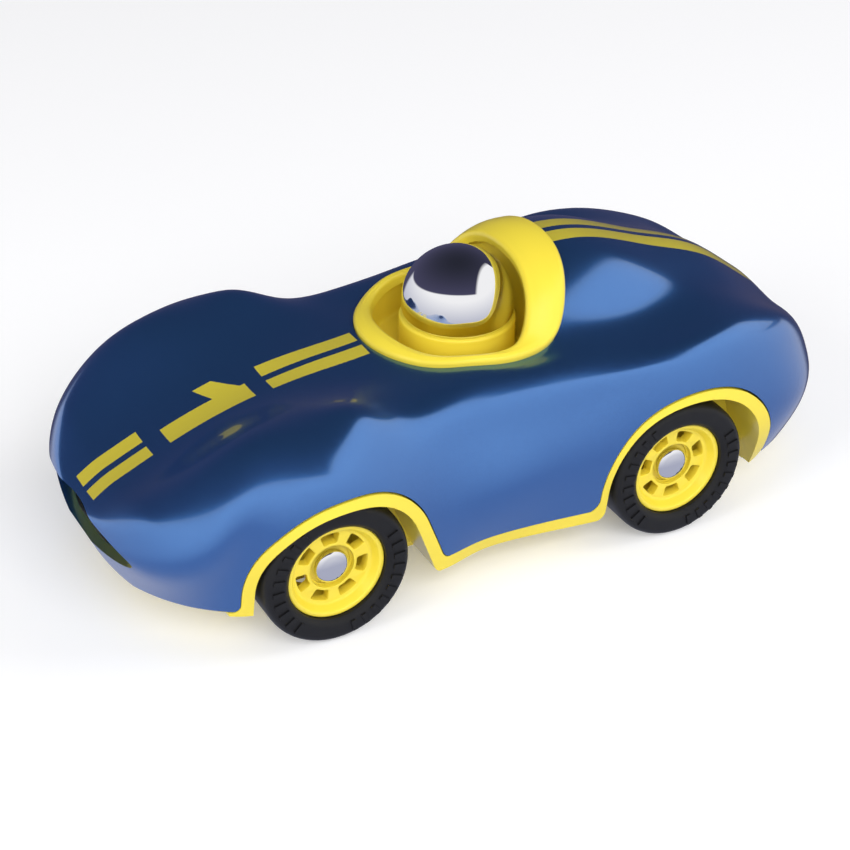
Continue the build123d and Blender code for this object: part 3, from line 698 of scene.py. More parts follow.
def rounded(bends: Sequence[tuple[float, float, float]], steps: int = 5) -> list[tuple[float, float]]:
    """Closed run of points with its corners rounded off.

    Args:
        bends: (first, second, radius) of each corner.
        steps: Points in each rounded corner.

    Returns:
        The points.
    """
    made = []
    count = len(bends)
    for i, (a, b, radius) in enumerate(bends):
        here = np.array((a, b))
        before = np.array(bends[i - 1][:2])
        after = np.array(bends[(i + 1) % count][:2])
        if radius <= 0:
            made.append((a, b))
            continue
        back, onward = before - here, after - here
        reach_back = min(radius, 0.45 * np.linalg.norm(back))
        reach_on = min(radius, 0.45 * np.linalg.norm(onward))
        start = here + back / np.linalg.norm(back) * reach_back
        end = here + onward / np.linalg.norm(onward) * reach_on
        for k in range(steps + 1):
            t = k / steps
            point = (1 - t) ** 2 * start + 2 * t * (1 - t) * here + t**2 * end
            made.append(tuple(point))
    return made


def smooth_copy(node: str, name: str, finish: bpy.types.Material) -> bpy.types.Object:
    """Copy of a CAD node with its doubles merged and shaded smooth.

    Args:
        node: The CAD node.
        name: The copy's name.
        finish: Its material.

    Returns:
        The copy, which stands for the node.
    """
    made = bpy.data.objects.new(name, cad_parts[node].data.copy())
    bpy.context.scene.collection.objects.link(made)
    tidy_mesh(made, outward=False)
    smooth(made, 28.0)
    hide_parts(node)
    return dress(made, finish)


# ------------------------------------------------------------------- the body's form
class Line:
    """Smooth line through given places: a natural cubic spline."""

    def __init__(self, *points: tuple[float, float]) -> None:
        """Work out the spline's bends.

        Args:
            *points: (place, value) pairs.
        """
        self.places, self.values = np.array(sorted(points), float).T
        self.bends = self.bend_matrix(self.places) @ self.values

    @staticmethod
    def bend_matrix(places: np.ndarray) -> np.ndarray:
        """Matrix from a spline's values to its second derivatives.

        Args:
            places: Where the values are given.

        Returns:
            A square matrix.
        """
        count = len(places)
        steps = np.diff(places)
        left, right = np.eye(count), np.zeros((count, count))
        for i in range(1, count - 1):
            left[i, i - 1:i + 2] = steps[i - 1], 2 * (steps[i - 1] + steps[i]), steps[i]
            right[i, i - 1:i + 2] = 6 / steps[i - 1], -6 / steps[i - 1] - 6 / steps[i], 6 / steps[i]
        return np.linalg.solve(left, right)

    @staticmethod
    def weights(places: np.ndarray, wanted: np.ndarray) -> np.ndarray:
        """Matrix from a spline's values to its values at other places.

        Args:
            places: Where the values are given.
            wanted: Where they are wanted.

        Returns:
            One row for each wanted place.
        """
        count = len(places)
        bends = Line.bend_matrix(places)
        rows = []
        for place in wanted:
            i = int(np.clip(np.searchsorted(places, place, "right") - 1, 0, count - 2))
            step = places[i + 1] - places[i]
            a, b = (places[i + 1] - place) / step, (place - places[i]) / step
            row = ((a**3 - a) * bends[i] + (b**3 - b) * bends[i + 1]) * step**2 / 6
            row[i] += a
            row[i + 1] += b
            rows.append(row)
        return np.array(rows)

    def __call__(self, place: np.ndarray) -> np.ndarray:
        """Value at a place or places.

        Args:
            place: Where along the line.

        Returns:
            The values.
        """
        place = np.clip(place, self.places[0], self.places[-1])
        return self.weights(self.places, np.atleast_1d(place)) @ self.values


@dataclass(frozen=True)
class Closing:
    """How a size of the form runs out towards the nose and the tail."""

    nose_run: float
    nose_power: float
    tail_run: float
    tail_power: float

    @staticmethod
    def fade(distance: np.ndarray, power: float) -> np.ndarray:
        """Quarter of a superellipse: 1 until the distance starts, 0 at its end."""
        return np.clip(1 - np.clip(distance, 0, 1) ** power, 0, 1) ** (1 / power)

    def share(self, x: np.ndarray, nose_x: float, tail_x: float) -> np.ndarray:
        """Share of the size that is left.

        Args:
            x: Stations along the car.
            nose_x: The nose's tip.
            tail_x: The tail's tip.

        Returns:
            The share at each station.
        """
        nose_share = self.fade((x - nose_x + self.nose_run) / self.nose_run, self.nose_power)
        tail_share = self.fade((tail_x + self.tail_run - x) / self.tail_run, self.tail_power)
        return np.where(x > 0, nose_share, tail_share)


@dataclass
class BodyForm:
    """The body's sculpted form, given by lines that run along the car."""

    nose_x: float = 82.0
    tail_x: float = -82.0
    nose_tip_z: float = 22.5
    tail_tip_z: float = 20.5
    foot_z: float = 6.0
    roof: float = 57.3
    hood: float = 39.3
    front_crest: float = 45.4
    rear_crest: float = 42.6
    crest: float = 26.5
    front_belt: float = 38.8
    waist_belt: float = 33.2
    rear_belt: float = 37.0
    sill: float = 30.3
    narrowing: Closing = Closing(22, 2.6, 27, 2.5)
    lowering: Closing = Closing(7.5, 2.0, 11, 2.0)
    rising: Closing = Closing(14.5, 1.75, 11, 2.0)
    nose_round: float = 9.0
    tail_round: float = 12.0
    shares: tuple = (0.0, 0.2, 0.31, 0.42, 0.62, 0.8, 1.0)
    steps_round: int = 64
    lines: list = field(init=False)
    spread: np.ndarray = field(init=False)

    def __post_init__(self) -> None:
        """Draw the lines."""
        front, rear, waist, seat = FRONT_AXLE_X, REAR_AXLE_X, 14.0, -6.0
        nose, tail = self.nose_x, self.tail_x
        hood, roof, fc, rc = self.hood, self.roof, self.front_crest, self.rear_crest
        crest, fb, wb, rb, sill = self.crest, self.front_belt, self.waist_belt, self.rear_belt, self.sill
        spine_z = Line(
            (nose, hood - 14.4), (front + 24, hood - 7.4), (front + 12.5, hood - 3.1),
            (front, hood), (front - 12.5, hood + 1.9), (waist + 6, hood + 2.9),
            (seat + 11, hood + 7.7), (seat - 4, roof - 1.8), (seat - 12, roof),
            (rear + 6.9, roof - 0.5), (rear - 10.5, roof - 6.3), (rear - 25, roof - 12.1),
            (rear - 36, roof - 20.2), (tail, roof - 28.2),
        )
        flank_y = Line((nose, 13), (waist, 13), (seat - 12, 15), (rear - 10, 14), (tail, 12))
        flank_z = Line(
            (nose, hood - 13.8), (front + 24, hood - 5.6), (front + 12.5, hood - 0.8),
            (front, hood + 1.8), (front - 12.5, hood + 2.2), (waist + 6, hood + 2.3),
            (seat + 11, hood + 4.4), (seat - 4, roof - 7.4), (seat - 12, roof - 5.8),
            (rear + 6.9, roof - 5.6), (rear - 10.5, roof - 10.1), (rear - 25, roof - 15.3),
            (rear - 36, roof - 22.1), (tail, roof - 28.4),
        )
        deck_y = Line(
            (nose, 19.8), (front, 19.1), (waist + 6, 19.4), (seat - 4, 19.8), (rear, 20.5),
            (rear - 20, 20.5), (rear - 36, 19), (tail, 17.9),
        )
        deck_z = Line(
            (nose, hood - 13.4), (front + 24, hood - 3), (front + 12.5, hood + 2.3),
            (front, hood + 3.9), (front - 12.5, hood + 3.5), (waist + 6, hood + 2), (seat + 11, rc),
            (seat + 3, rc + 0.2), (seat - 4, rc + 1.3), (seat - 12, rc + 2.6), (rear + 6.9, rc + 2.8),
            (rear - 1.1, rc + 2.6), (rear - 10.5, rc + 2.5), (rear - 20, rc + 0.7),
            (rear - 36, rc - 7.4), (tail, rc - 14.2),
        )
        crest_y = Line(
            (nose, crest - 1.2), (front, crest - 0.8), (waist + 11, crest - 1.4), (waist, crest - 1.9),
            (seat, crest - 0.9), (rear, crest + 1.4), (rear - 15, crest + 0.4),
            (rear - 30, crest - 1.6), (tail, crest - 4),
        )
        crest_z = Line(
            (nose, fc - 19.6), (front + 31.5, fc - 13.4), (front + 24, fc - 7.8),
            (front + 16, fc - 3.3), (front + 8, fc - 1.5), (front, fc - 1.1), (front - 7, fc - 0.5),
            (waist + 11, fc - 4.3), (waist, rc - 1.8), (seat, rc - 0.4), (seat - 12, rc),
            (rear, rc + 0.8), (rear - 15, rc + 1.2), (rear - 25, rc - 1.5), (rear - 33, rc - 5.4),
            (rear - 40, rc - 10.9), (tail, rc - 15.3),
        )
        shoulder_y = Line(
            (nose, fb - 7.6), (front + 24, fb - 5.4), (front + 12.5, fb - 4.8), (front, fb - 3.5),
            (front - 12.5, fb - 6), (waist, wb - 3.4), (seat, wb - 2.2), (seat - 12, wb - 1.2),
            (rear, rb - 2.7), (rear - 15, rb - 3.7), (rear - 30, rb - 6.5), (tail, rb - 10),
        )
        shoulder_z = Line(
            (nose, fc - 22), (front + 24, fc - 13.1), (front + 12.5, fc - 8.2),
            (front, fc - 5.9), (front - 12.5, fc - 8.6), (waist, rc - 9.4), (seat, rc - 8.8),
            (seat - 12, rc - 6.4), (rear, rc - 2.4), (rear - 15, rc - 3.8), (rear - 30, rc - 10),
            (tail, rc - 18.7),
        )
        belt_y = Line(
            (nose, fb - 7.2), (front + 24, fb - 4.8), (front + 18.5, fb - 5),
            (front + 12.5, fb - 2.6), (front + 6, fb - 0.8), (front, fb), (front - 8.5, fb - 0.9),
            (front - 15.5, fb - 3), (waist + 7, wb + 1), (waist, wb), (seat + 11, wb + 0.2),
            (seat, wb + 0.5), (rear + 19, rb - 2.6), (rear + 9, rb - 1.4), (rear, rb),
            (rear - 9, rb - 0.1), (rear - 19, rb - 1.8), (rear - 29, rb - 3.8), (tail, rb - 8),
        )
        belt_z = Line(
            (nose, 18), (front + 24, 24), (front, 27), (waist, 22), (seat, 23), (rear, 26),
            (rear - 25, 22), (tail, 19),
        )
        sill_y = Line(
            (nose, sill - 17.1), (front + 31, sill - 11.8), (front + 24, sill - 4.9),
            (front + 18.5, sill - 0.3), (front + 12.5, sill + 1.2), (front, sill + 3.7),
            (waist + 11, sill + 2.7), (waist + 3, sill + 2.1), (waist - 4, sill + 0.1),
            (seat + 6, sill - 0.1), (seat - 4, sill + 1.2), (seat - 12, sill + 2.2),
            (rear, sill + 2.7), (rear - 21, sill - 0.8), (rear - 33, sill - 5.8),
            (tail, sill - 11.3),
        )
        middle, foot = Line((nose, 0), (tail, 0)), Line((nose, self.foot_z), (tail, self.foot_z))
        self.lines = [
            (middle, spine_z), (flank_y, flank_z), (deck_y, deck_z), (crest_y, crest_z),
            (shoulder_y, shoulder_z), (belt_y, belt_z), (sill_y, foot),
        ]
        half = list(self.shares)
        given = np.array([-s for s in reversed(half[1:])] + half)
        self.spread = Line.weights(given, np.linspace(-1, 1, 2 * self.steps_round + 1))

    def sections(self, x: np.ndarray, grow: float = 0.0) -> np.ndarray:
        """Cross-sections of the body.

        Args:
            x: Stations along the car.
            grow: How far outside the body's surface.

        Returns:
            Points by station and by place round the section.
        """
        x = np.asarray(x, float)
        half_y = np.array([line(x) for line, _ in self.lines])
        half_z = np.array([line(x) for _, line in self.lines])
        y = np.concatenate([-half_y[:0:-1], half_y])
        z = np.concatenate([half_z[:0:-1], half_z])
        run, rise = (np.concatenate([v[1:], v[-1:]]) - np.concatenate([v[:1], v[:-1]]) for v in (y, z))
        length = np.hypot(run, rise)
        y, z = y - grow * rise / length, z + grow * run / length
        z[0] = z[-1] = self.foot_z
        tips = self.nose_x + grow, self.tail_x - grow
        width, top, under = (
            closing.share(x, *tips) for closing in (self.narrowing, self.lowering, self.rising)
        )
        tip_z = np.where(x > 0, self.nose_tip_z, self.tail_tip_z)
        above = z - tip_z
        z = tip_z + above * np.where(above > 0, top, under)
        y, z = (self.spread @ (y * width)).T, (self.spread @ z).T
        return np.stack([np.repeat(x[:, None], y.shape[1], 1), y, z], axis=2)

    def stations(self, count: int, grow: float = 0.0) -> np.ndarray:
        """Stations along the car, closer together at the tips.

        Args:
            count: How many along the straight middle.
            grow: How far outside the body's surface.

        Returns:
            The stations in order.
        """
        nose_x, tail_x = self.nose_x + grow, self.tail_x - grow
        turn = np.linspace(0.12, math.pi / 2, 25)[:-1]
        nose = nose_x - self.nose_round * (1 - np.cos(turn))
        tail = tail_x + self.tail_round * (1 - np.cos(turn))
        middle = np.linspace(tail_x + self.tail_round, nose_x - self.nose_round, count)
        return np.sort(np.concatenate([nose, tail, middle]))

    def solid(self, name: str, grow: float = 0.0, count: int = 190) -> bpy.types.Object:
        """Closed solid of the whole form.

        Args:
            name: The object's name.
            grow: How far outside the body's surface.
            count: Stations along the middle.

        Returns:
            The solid.
        """
        grid = self.sections(self.stations(count, grow), grow)
        rows = len(grid)
        under = np.linspace(0, 1, 13)[1:-1]
        bottom = grid[:, -1:] * (1 - under[None, :, None]) + grid[:, :1] * under[None, :, None]
        rings = np.concatenate([grid, bottom], axis=1)
        round_count = rings.shape[1]
        points = rings.reshape(-1, 3).tolist()
        faces = []
        for i in range(rows - 1):
            for j in range(round_count):
                k = (j + 1) % round_count
                a, b = i * round_count, (i + 1) * round_count
                faces.append((a + j, a + k, b + k, b + j))
        for row, tip_z in ((0, self.tail_tip_z), (rows - 1, self.nose_tip_z)):
            points.append((rings[row, 0, 0], 0, tip_z))
            start = row * round_count
            for j in range(round_count):
                faces.append((start + j, start + (j + 1) % round_count, len(points) - 1))
        made = mesh_object(name, points, faces)
        tidy_mesh(made, merge=0.0005)
        return made


class TopField:
    """Heights of the body's top over a patch in plan."""

    def __init__(self, form: BodyForm, half_length: float = 30.0, half_width: float = 24.0) -> None:
        """Read the heights off the form.

        Args:
            form: The body's form.
            half_length: How far the patch reaches along the car each way.
            half_width: How far it reaches across each way.
        """
        self.step = 0.25
        self.x0, self.y0 = -half_length, -half_width
        along = np.arange(-half_length, half_length + self.step, self.step)
        across = np.arange(-half_width, half_width + self.step, self.step)
        rows = []
        for line in form.sections(along):
            top = line[len(line) // 2:]
            peak = int(np.argmax(top[:, 1]))
            rows.append(np.interp(abs(across), top[:peak + 1, 1], top[:peak + 1, 2]))
        self.heights = np.array(rows)
        self.slopes = np.gradient(self.heights, self.step)

    def read(self, values: np.ndarray, x: float, y: float) -> float:
        """Value at a place, blended from the four nearest ones.

        Args:
            values: The heights, or their slopes one way.
            x: Place along the car.
            y: Place across the car.

        Returns:
            The value.
        """
        a, b = (x - self.x0) / self.step, (y - self.y0) / self.step
        i, j = int(a), int(b)
        u, v = a - i, b - j
        near = values[i, j] * (1 - v) + values[i, j + 1] * v
        far = values[i + 1, j] * (1 - v) + values[i + 1, j + 1] * v
        return float(near * (1 - u) + far * u)

    def above(self, plan: np.ndarray, rise: float) -> np.ndarray:
        """Point at a distance straight out of the surface.

        Args:
            plan: (x, y) on the surface.
            rise: The distance.

        Returns:
            (x, y, z).
        """
        x, y = float(plan[0]), float(plan[1])
        out = np.array([-self.read(self.slopes[0], x, y), -self.read(self.slopes[1], x, y), 1.0])
        return np.array([x, y, self.read(self.heights, x, y)]) + out / np.linalg.norm(out) * rise


@dataclass(frozen=True)
class Arch:
    """Side outline of a wheel arch: an arc on two legs that may flare out at the foot."""

    end: End
    radius: float
    setback: float
    drop: float
    slope: float
    foot_z: float
    front_flare: float
    rear_flare: float

    def outline(self, grow: float = 0.0, low_z: float = 0.0) -> list[tuple[float, float]]:
        """Outline seen from the side.

        Args:
            grow: How much larger than the opening.
            low_z: How far down the legs reach.

        Returns:
            (x, z) points in order, from the front foot over the arc to the rear foot.
        """
        centre = np.array((self.end.axle_x - self.setback, AXLE_Z - self.drop))
        radius, slope = self.radius + grow, math.radians(self.slope)
        turns = np.linspace(0, slope, 49)
        arc = [centre + radius * np.array((math.cos(t), math.sin(t))) for t in turns]
        rear_down = np.array((-math.sin(slope), math.cos(slope)))
        front = self.leg(arc[0], np.array((0.0, -1.0)), 1, self.front_flare, grow, low_z)
        rear = self.leg(arc[-1], rear_down, -1, self.rear_flare, grow, low_z)
        return [tuple(point) for point in front[::-1] + arc + rear]

    def leg(
        self, top: np.ndarray, down: np.ndarray, out: int, flare: float, grow: float, low_z: float
    ) -> list[np.ndarray]:
        """Points of one leg below its top.

        Args:
            top: Where the arc ends and the leg begins.
            down: The leg's direction.
            out: 1 where the foot flares forwards, -1 backwards.
            flare: Radius of the flare, 0 for a straight leg.
            grow: How much larger than the opening.
            low_z: How far down the leg reaches.

        Returns:
            The points from the top downwards, without the top itself.
        """
        if flare == 0:
            return [top + down * (low_z - top[1]) / down[1]]
        radius, aside = flare - grow, np.array((float(out), 0.0))
        corner = top + down * (self.foot_z + grow - top[1]) / down[1]
        half = math.acos(float(down @ aside)) / 2
        towards = (aside - down) / np.linalg.norm(aside - down)
        middle = corner + towards * radius / math.cos(half)
        reach = radius * math.tan(half)
        begin, finish = corner - down * reach - middle, corner + aside * reach - middle
        spokes = [begin + (finish - begin) * k / 8 for k in range(9)]
        points = [middle + spoke * radius / np.linalg.norm(spoke) for spoke in spokes]
        return points + [np.array((points[-1][0], low_z))]

    def rear_edge(self) -> float:
        """Hindmost place of the opening."""
        return self.end.axle_x - self.setback - self.radius

    def prism(self, side: Side, low_y: float, high_y: float, grow: float = 0.0) -> bpy.types.Object:
        """Prism of the opening on one side of the car."""
        outline = [(x, side.value * low_y, z) for x, z in self.outline(grow)]
        return prism("arch tool", outline, (0, side.value * (high_y - low_y), 0))


FRONT_ARCH = Arch(
    end=End.FRONT, radius=19.8, setback=1.2, drop=1.3, slope=158.0,
    foot_z=9.8, front_flare=1.8, rear_flare=3.0,
)
REAR_ARCH = Arch(
    end=End.REAR, radius=21.0, setback=3.1, drop=2.1, slope=174.0,
    foot_z=9.8, front_flare=3.0, rear_flare=0.0,
)
FRONT_WELL = Arch(
    end=End.FRONT, radius=17.1, setback=0.9, drop=0.8, slope=158.0,
    foot_z=6.8, front_flare=0.0, rear_flare=2.5,
)
REAR_WELL = Arch(
    end=End.REAR, radius=18.4, setback=2.2, drop=1.5, slope=174.0,
    foot_z=6.8, front_flare=2.5, rear_flare=0.0,
)


@dataclass(frozen=True)
class Oval:
    """Egg-shaped outline in plan."""

    centre: float
    front: float
    rear: float
    half_width: float
    front_power: float
    rear_power: float

    def point(self, turn: float, grow: float = 0.0) -> np.ndarray:
        """Point of the outline.

        Args:
            turn: 0 at the front, growing towards the car's left.
            grow: How far outside the outline.

        Returns:
            (x, y).
        """
        ahead = math.cos(turn) > 0
        reach = (self.front if ahead else self.rear) + grow
        power = self.front_power if ahead else self.rear_power
        along = math.copysign(abs(math.cos(turn)) ** (2 / power), math.cos(turn))
        across = math.copysign(abs(math.sin(turn)) ** (2 / power), math.sin(turn))
        return np.array((self.centre + reach * along, (self.half_width + grow) * across))

    def points(self, count: int, grow: float = 0.0) -> list[np.ndarray]:
        """Points evenly spaced along the outline's length.

        Args:
            count: How many points.
            grow: How far outside the outline.

        Returns:
            The points, from the front towards the left.
        """
        fine = np.array([self.point(2 * math.pi * i / 2000, grow) for i in range(2001)])
        lengths = np.concatenate([[0], np.cumsum(np.linalg.norm(np.diff(fine, axis=0), axis=1))])
        wanted = np.linspace(0, lengths[-1], count + 1)[:-1]
        return [np.array([np.interp(w, lengths, fine[:, k]) for k in range(2)]) for w in wanted]


RING = Oval(
    centre=-6.0, front=25.5, rear=14.8, half_width=21.2, front_power=2.0, rear_power=2.4
)
OPENING = Oval(
    centre=-2.0, front=17.1, rear=9.3, half_width=18.2, front_power=2.05, rear_power=2.8
)
WELL = Oval(
    centre=-2.0, front=17.6, rear=12.5, half_width=18.7, front_power=2.05, rear_power=2.4
)


# ------------------------------------------------------------------- sub-assemblies
@dataclass
class BodyShell:
    """Upper body: a lacquered shell with openings for wheels, cockpit and intake."""

    form: BodyForm
    inner_y: float = 21.05
    cockpit_low_z: float = 30.0
    mouth_half_width: float = 21.5
    mouth_half_height: float = 3.3
    mouth_z: float = 20.7
    mouth_depth: float = 13.0

    def mouth(self) -> bpy.types.Object:
        """Oval tool for the air intake.

        Returns:
            The tool.
        """
        back_x = self.form.nose_x - self.mouth_depth
        wide, high = self.mouth_half_width + PANEL_GAP, self.mouth_half_height + PANEL_GAP
        outline = [(back_x, wide * across, self.mouth_z + high * up) for across, up in circle(1.0)]
        return prism("mouth tool", outline, (self.mouth_depth + 5, 0, 0))

    def build(self) -> bpy.types.Object:
        """Make the shell.

        Returns:
            The finished mesh.
        """
        shell = self.form.solid("lacquered_body")
        low, high = (-PAST_ENDS, -PAST_SIDES, -10), (PAST_ENDS, PAST_SIDES, PARTING_Z)
        tools, arches = [block("below", low, high)], (FRONT_ARCH, REAR_ARCH)
        tools += [arch.prism(side, self.inner_y, PAST_SIDES) for arch in arches for side in Side]
        outline = [(*p, self.cockpit_low_z) for p in RING.points(160, PANEL_GAP)]
        tools.append(prism("cockpit", outline, (0, 0, PAST_SIDES)))
        tools += [self.mouth(), self.form.solid("inside", -SHELL_WALL)]
        for tool in tools:
            shell = cut(shell, tool, Cut.AWAY)
        tidy_mesh(shell, merge=0.001, outward=False)
        smooth(shell, 38.0)
        return shell


@dataclass
class Chassis:
    """Lower body: floor, sill band, arch bands, wheel wells and axle blocks."""

    form: BodyForm
    base_z: float = 7.0
    floor: float = 2.0
    tray_rise: float = 1.0
    plate_ahead: float = 13.5
    plate_behind: float = 15.1
    front_toe_z: float = 8.8
    rear_toe_z: float = 8.2
    toe_round: float = 3.0
    well_y: float = 22.6
    well_wall: float = 1.4
    post_radius: float = 3.2
    shank_radius: float = 1.0
    head_radius: float = 2.4
    head: float = 1.2
    posts: tuple = ((66.0, 14.0), (-66.0, 13.0))
    block_length: float = 8.0
    block_width: float = 6.0
    block_top: float = 18.9
    bore: float = 1.55

    def build(self) -> bpy.types.Object:
        """Make the chassis.

        Returns:
            The finished mesh.
        """
        tail_x, nose_x = REAR_AXLE_X - self.plate_behind, FRONT_AXLE_X + self.plate_ahead
        floor_z = self.base_z + self.floor
        made = self.form.solid("yellow_floor")
        made = cut(made, self.slab(self.base_z, PARTING_Z, tail_x, nose_x), Cut.COMMON)
        tray = self.form.solid("tray", -SHELL_WALL - PANEL_GAP)
        tray = cut(tray, self.slab(self.base_z + self.tray_rise, PARTING_Z), Cut.COMMON)
        made = cut(made, tray, Cut.JOIN)
        inside = self.form.solid("inside", -SHELL_WALL - self.well_wall)
        inside = cut(inside, self.slab(floor_z, PAST_SIDES, tail_x + 1, nose_x - 1), Cut.COMMON)
        made = cut(made, inside, Cut.AWAY)
        for arch, well in ((FRONT_ARCH, FRONT_WELL), (REAR_ARCH, REAR_WELL)):
            for side in Side:
                made = self.add_arch(made, arch, well, side)
        for axle_x in (FRONT_AXLE_X, REAR_AXLE_X):
            for side in Side:
                outer = side.value * (self.well_y - self.well_wall / 2)
                inner = outer - side.value * self.block_width
                low = (axle_x - self.block_length / 2, min(outer, inner), floor_z)
                high = (axle_x + self.block_length / 2, max(outer, inner), self.block_top)
                made = cut(made, block("axle block", low, high), Cut.JOIN)
            hole = [(axle_x + ahead, -50, AXLE_Z + up) for ahead, up in circle(self.bore, 48)]
            made = cut(made, prism("bore", hole, (0, 100, 0)), Cut.AWAY)
        made = self.drill(made)
        tidy_mesh(made, merge=0.001, outward=False, split=True)
        smooth(made, 38.0)
        return made

    def slab(
        self, low_z: float, high_z: float, low_x: float = -PAST_ENDS, high_x: float = PAST_ENDS
    ) -> bpy.types.Object:
        """Box between two heights, wider than the car."""
        return block("slab", (low_x, -PAST_SIDES, low_z), (high_x, PAST_SIDES, high_z))

    def add_arch(self, made: bpy.types.Object, arch: Arch, well: Arch, side: Side) -> bpy.types.Object:
        """Add one arch band and well wall and clear the well.

        Args:
            made: The chassis so far.
            arch: The opening in the shell.
            well: The space for the wheel.
            side: Which side of the car.

        Returns:
            The chassis with the arch.
        """
        wall = well.prism(side, self.well_y - self.well_wall, PAST_SIDES, self.well_wall)
        wall = cut(wall, self.form.solid("outer"), Cut.COMMON)
        skin = cut(self.form.solid("skin"), self.form.solid("inner", -SHELL_WALL), Cut.AWAY)
        band = cut(skin, arch.prism(side, self.well_y, PAST_SIDES, -PANEL_GAP), Cut.COMMON)
        both = cut(cut(wall, band, Cut.JOIN), self.slab(self.base_z, PAST_SIDES), Cut.COMMON)
        both = cut(both, self.beyond_toe(arch), Cut.AWAY)
        made = cut(made, both, Cut.JOIN)
        return cut(made, well.prism(side, self.well_y, PAST_SIDES), Cut.AWAY)

    def beyond_toe(self, arch: Arch) -> bpy.types.Object:
        """What a band leaves free at its outer foot.

        Args:
            arch: The opening the band lies in.

        Returns:
            The tool that clears it.
        """
        if arch.end is End.FRONT:
            return self.slab(0.0, self.front_toe_z, FRONT_AXLE_X)
        toe_x, round_z = arch.rear_edge() + self.toe_round, self.rear_toe_z + self.toe_round
        turns = [math.pi / 2 * (3 - k / 8) for k in range(9)]
        curve = [
            (toe_x + self.toe_round * math.cos(t), round_z + self.toe_round * math.sin(t))
            for t in turns
        ]
        outline = [(-PAST_ENDS, 0.0), (REAR_AXLE_X, 0.0), (REAR_AXLE_X, self.rear_toe_z)]
        outline += curve + [(-PAST_ENDS, round_z)]
        return prism("toe tool", [(x, -PAST_SIDES, z) for x, z in outline], (0, 2 * PAST_SIDES, 0))

    def drill(self, made: bpy.types.Object) -> bpy.types.Object:
        """Cut the post pockets and the screw holes.

        Args:
            made: The chassis so far.

        Returns:
            The chassis with its holes.
        """
        base = self.base_z + self.tray_rise
        reaches = (
            (self.post_radius + PANEL_GAP, base + self.floor, PARTING_Z + 1),
            (self.shank_radius + PANEL_GAP, 0.0, PARTING_Z + 1),
            (self.head_radius + PANEL_GAP, 0.0, base + self.head),
        )
        for x, y in self.posts:
            for side in Side:
                for radius, low, high in reaches:
                    ring = [(x + a, side.value * y + b, low) for a, b in circle(radius, 48)]
                    made = cut(made, prism("hole", ring, (0, 0, high - low)), Cut.AWAY)
        return made


@dataclass
class Surround:
    """Raised rim round the cockpit, with the well below it."""

    top: TopField
    proud: float = 1.5
    crown: float = 0.35
    fillet: float = 0.8
    floor_z: float = 35.4
    wall: float = 1.4
    edge: float = 1.1
    lip: float = 1.6
    count: int = 200

    def build(self) -> bpy.types.Object:
        """Make the rim and the well as one closed mesh.

        Returns:
            The finished mesh.
        """
        outlines = [oval.points(self.count) for oval in (RING, OPENING, WELL)]
        rows = [self.cross_section(*plans) for plans in zip(*outlines)]
        across = len(rows[0])
        points = [tuple(p) for row in rows for p in row]
        faces = []
        for i in range(self.count):
            a, b = i * across, ((i + 1) % self.count) * across
            faces += [(a + j, b + j, b + j + 1, a + j + 1) for j in range(across - 1)]
        faces.append([i * across + across - 1 for i in range(self.count)])
        faces.append([i * across for i in reversed(range(self.count))])
        made = mesh_object("cockpit_rim", points, faces)
        tidy_mesh(made, merge=0.001)
        smooth(made, 50.0)
        return made

    def profile(self, width: float) -> list[tuple[float, float]]:
        """Rim section: (distance inwards from its outline, height on the body).

        Args:
            width: The rim's width here.

        Returns:
            Points from the outer lip over the crown to the inner lip.
        """
        edge = min(self.edge, width * 0.35)
        corner = [math.pi / 2 * k / 6 for k in range(7)]
        made = [(0.0, -self.lip)]
        made += [(edge * (1 - math.cos(t)), self.proud - edge * (1 - math.sin(t))) for t in corner]
        for share in np.linspace(0, 1, 9)[1:-1]:
            crown = self.crown * math.sin(math.pi * share) * min(1.0, width / 9)
            made.append((edge + (width - 2 * edge) * share, self.proud + crown))
        made += [
            (width - edge * (1 - math.sin(t)), self.proud - edge * (1 - math.cos(t)))
            for t in corner
        ]
        return made + [(width, -self.lip * 0.5)]

    def cross_section(self, out: np.ndarray, mid: np.ndarray, low: np.ndarray) -> list[np.ndarray]:
        """Points from under the well, round the rim and down into the well.

        Args:
            out: Plan point on the rim's outline.
            mid: Plan point on the opening.
            low: Plan point on the well.

        Returns:
            The section's points.
        """
        inward = np.array([OPENING.centre, 0.0]) - low
        inward = inward / np.linalg.norm(inward)
        cup = low - inward * self.wall
        under = self.top.above(cup, -self.lip)
        made = [np.array([*cup, self.floor_z - self.wall]), np.array([*cup, under[2]])]
        width = float(np.linalg.norm(mid - out))
        for reach, rise in self.profile(width):
            made.append(self.top.above(out + (mid - out) * (reach / width), rise))
        made.append(np.array([*low, made[-1][2] - 0.2]))
        for t in np.linspace(0, math.pi / 2, 5):
            plan = low + inward * self.fillet * (1 - math.cos(t))
            made.append(np.array([*plan, self.floor_z + self.fillet * (1 - math.sin(t))]))
        return made


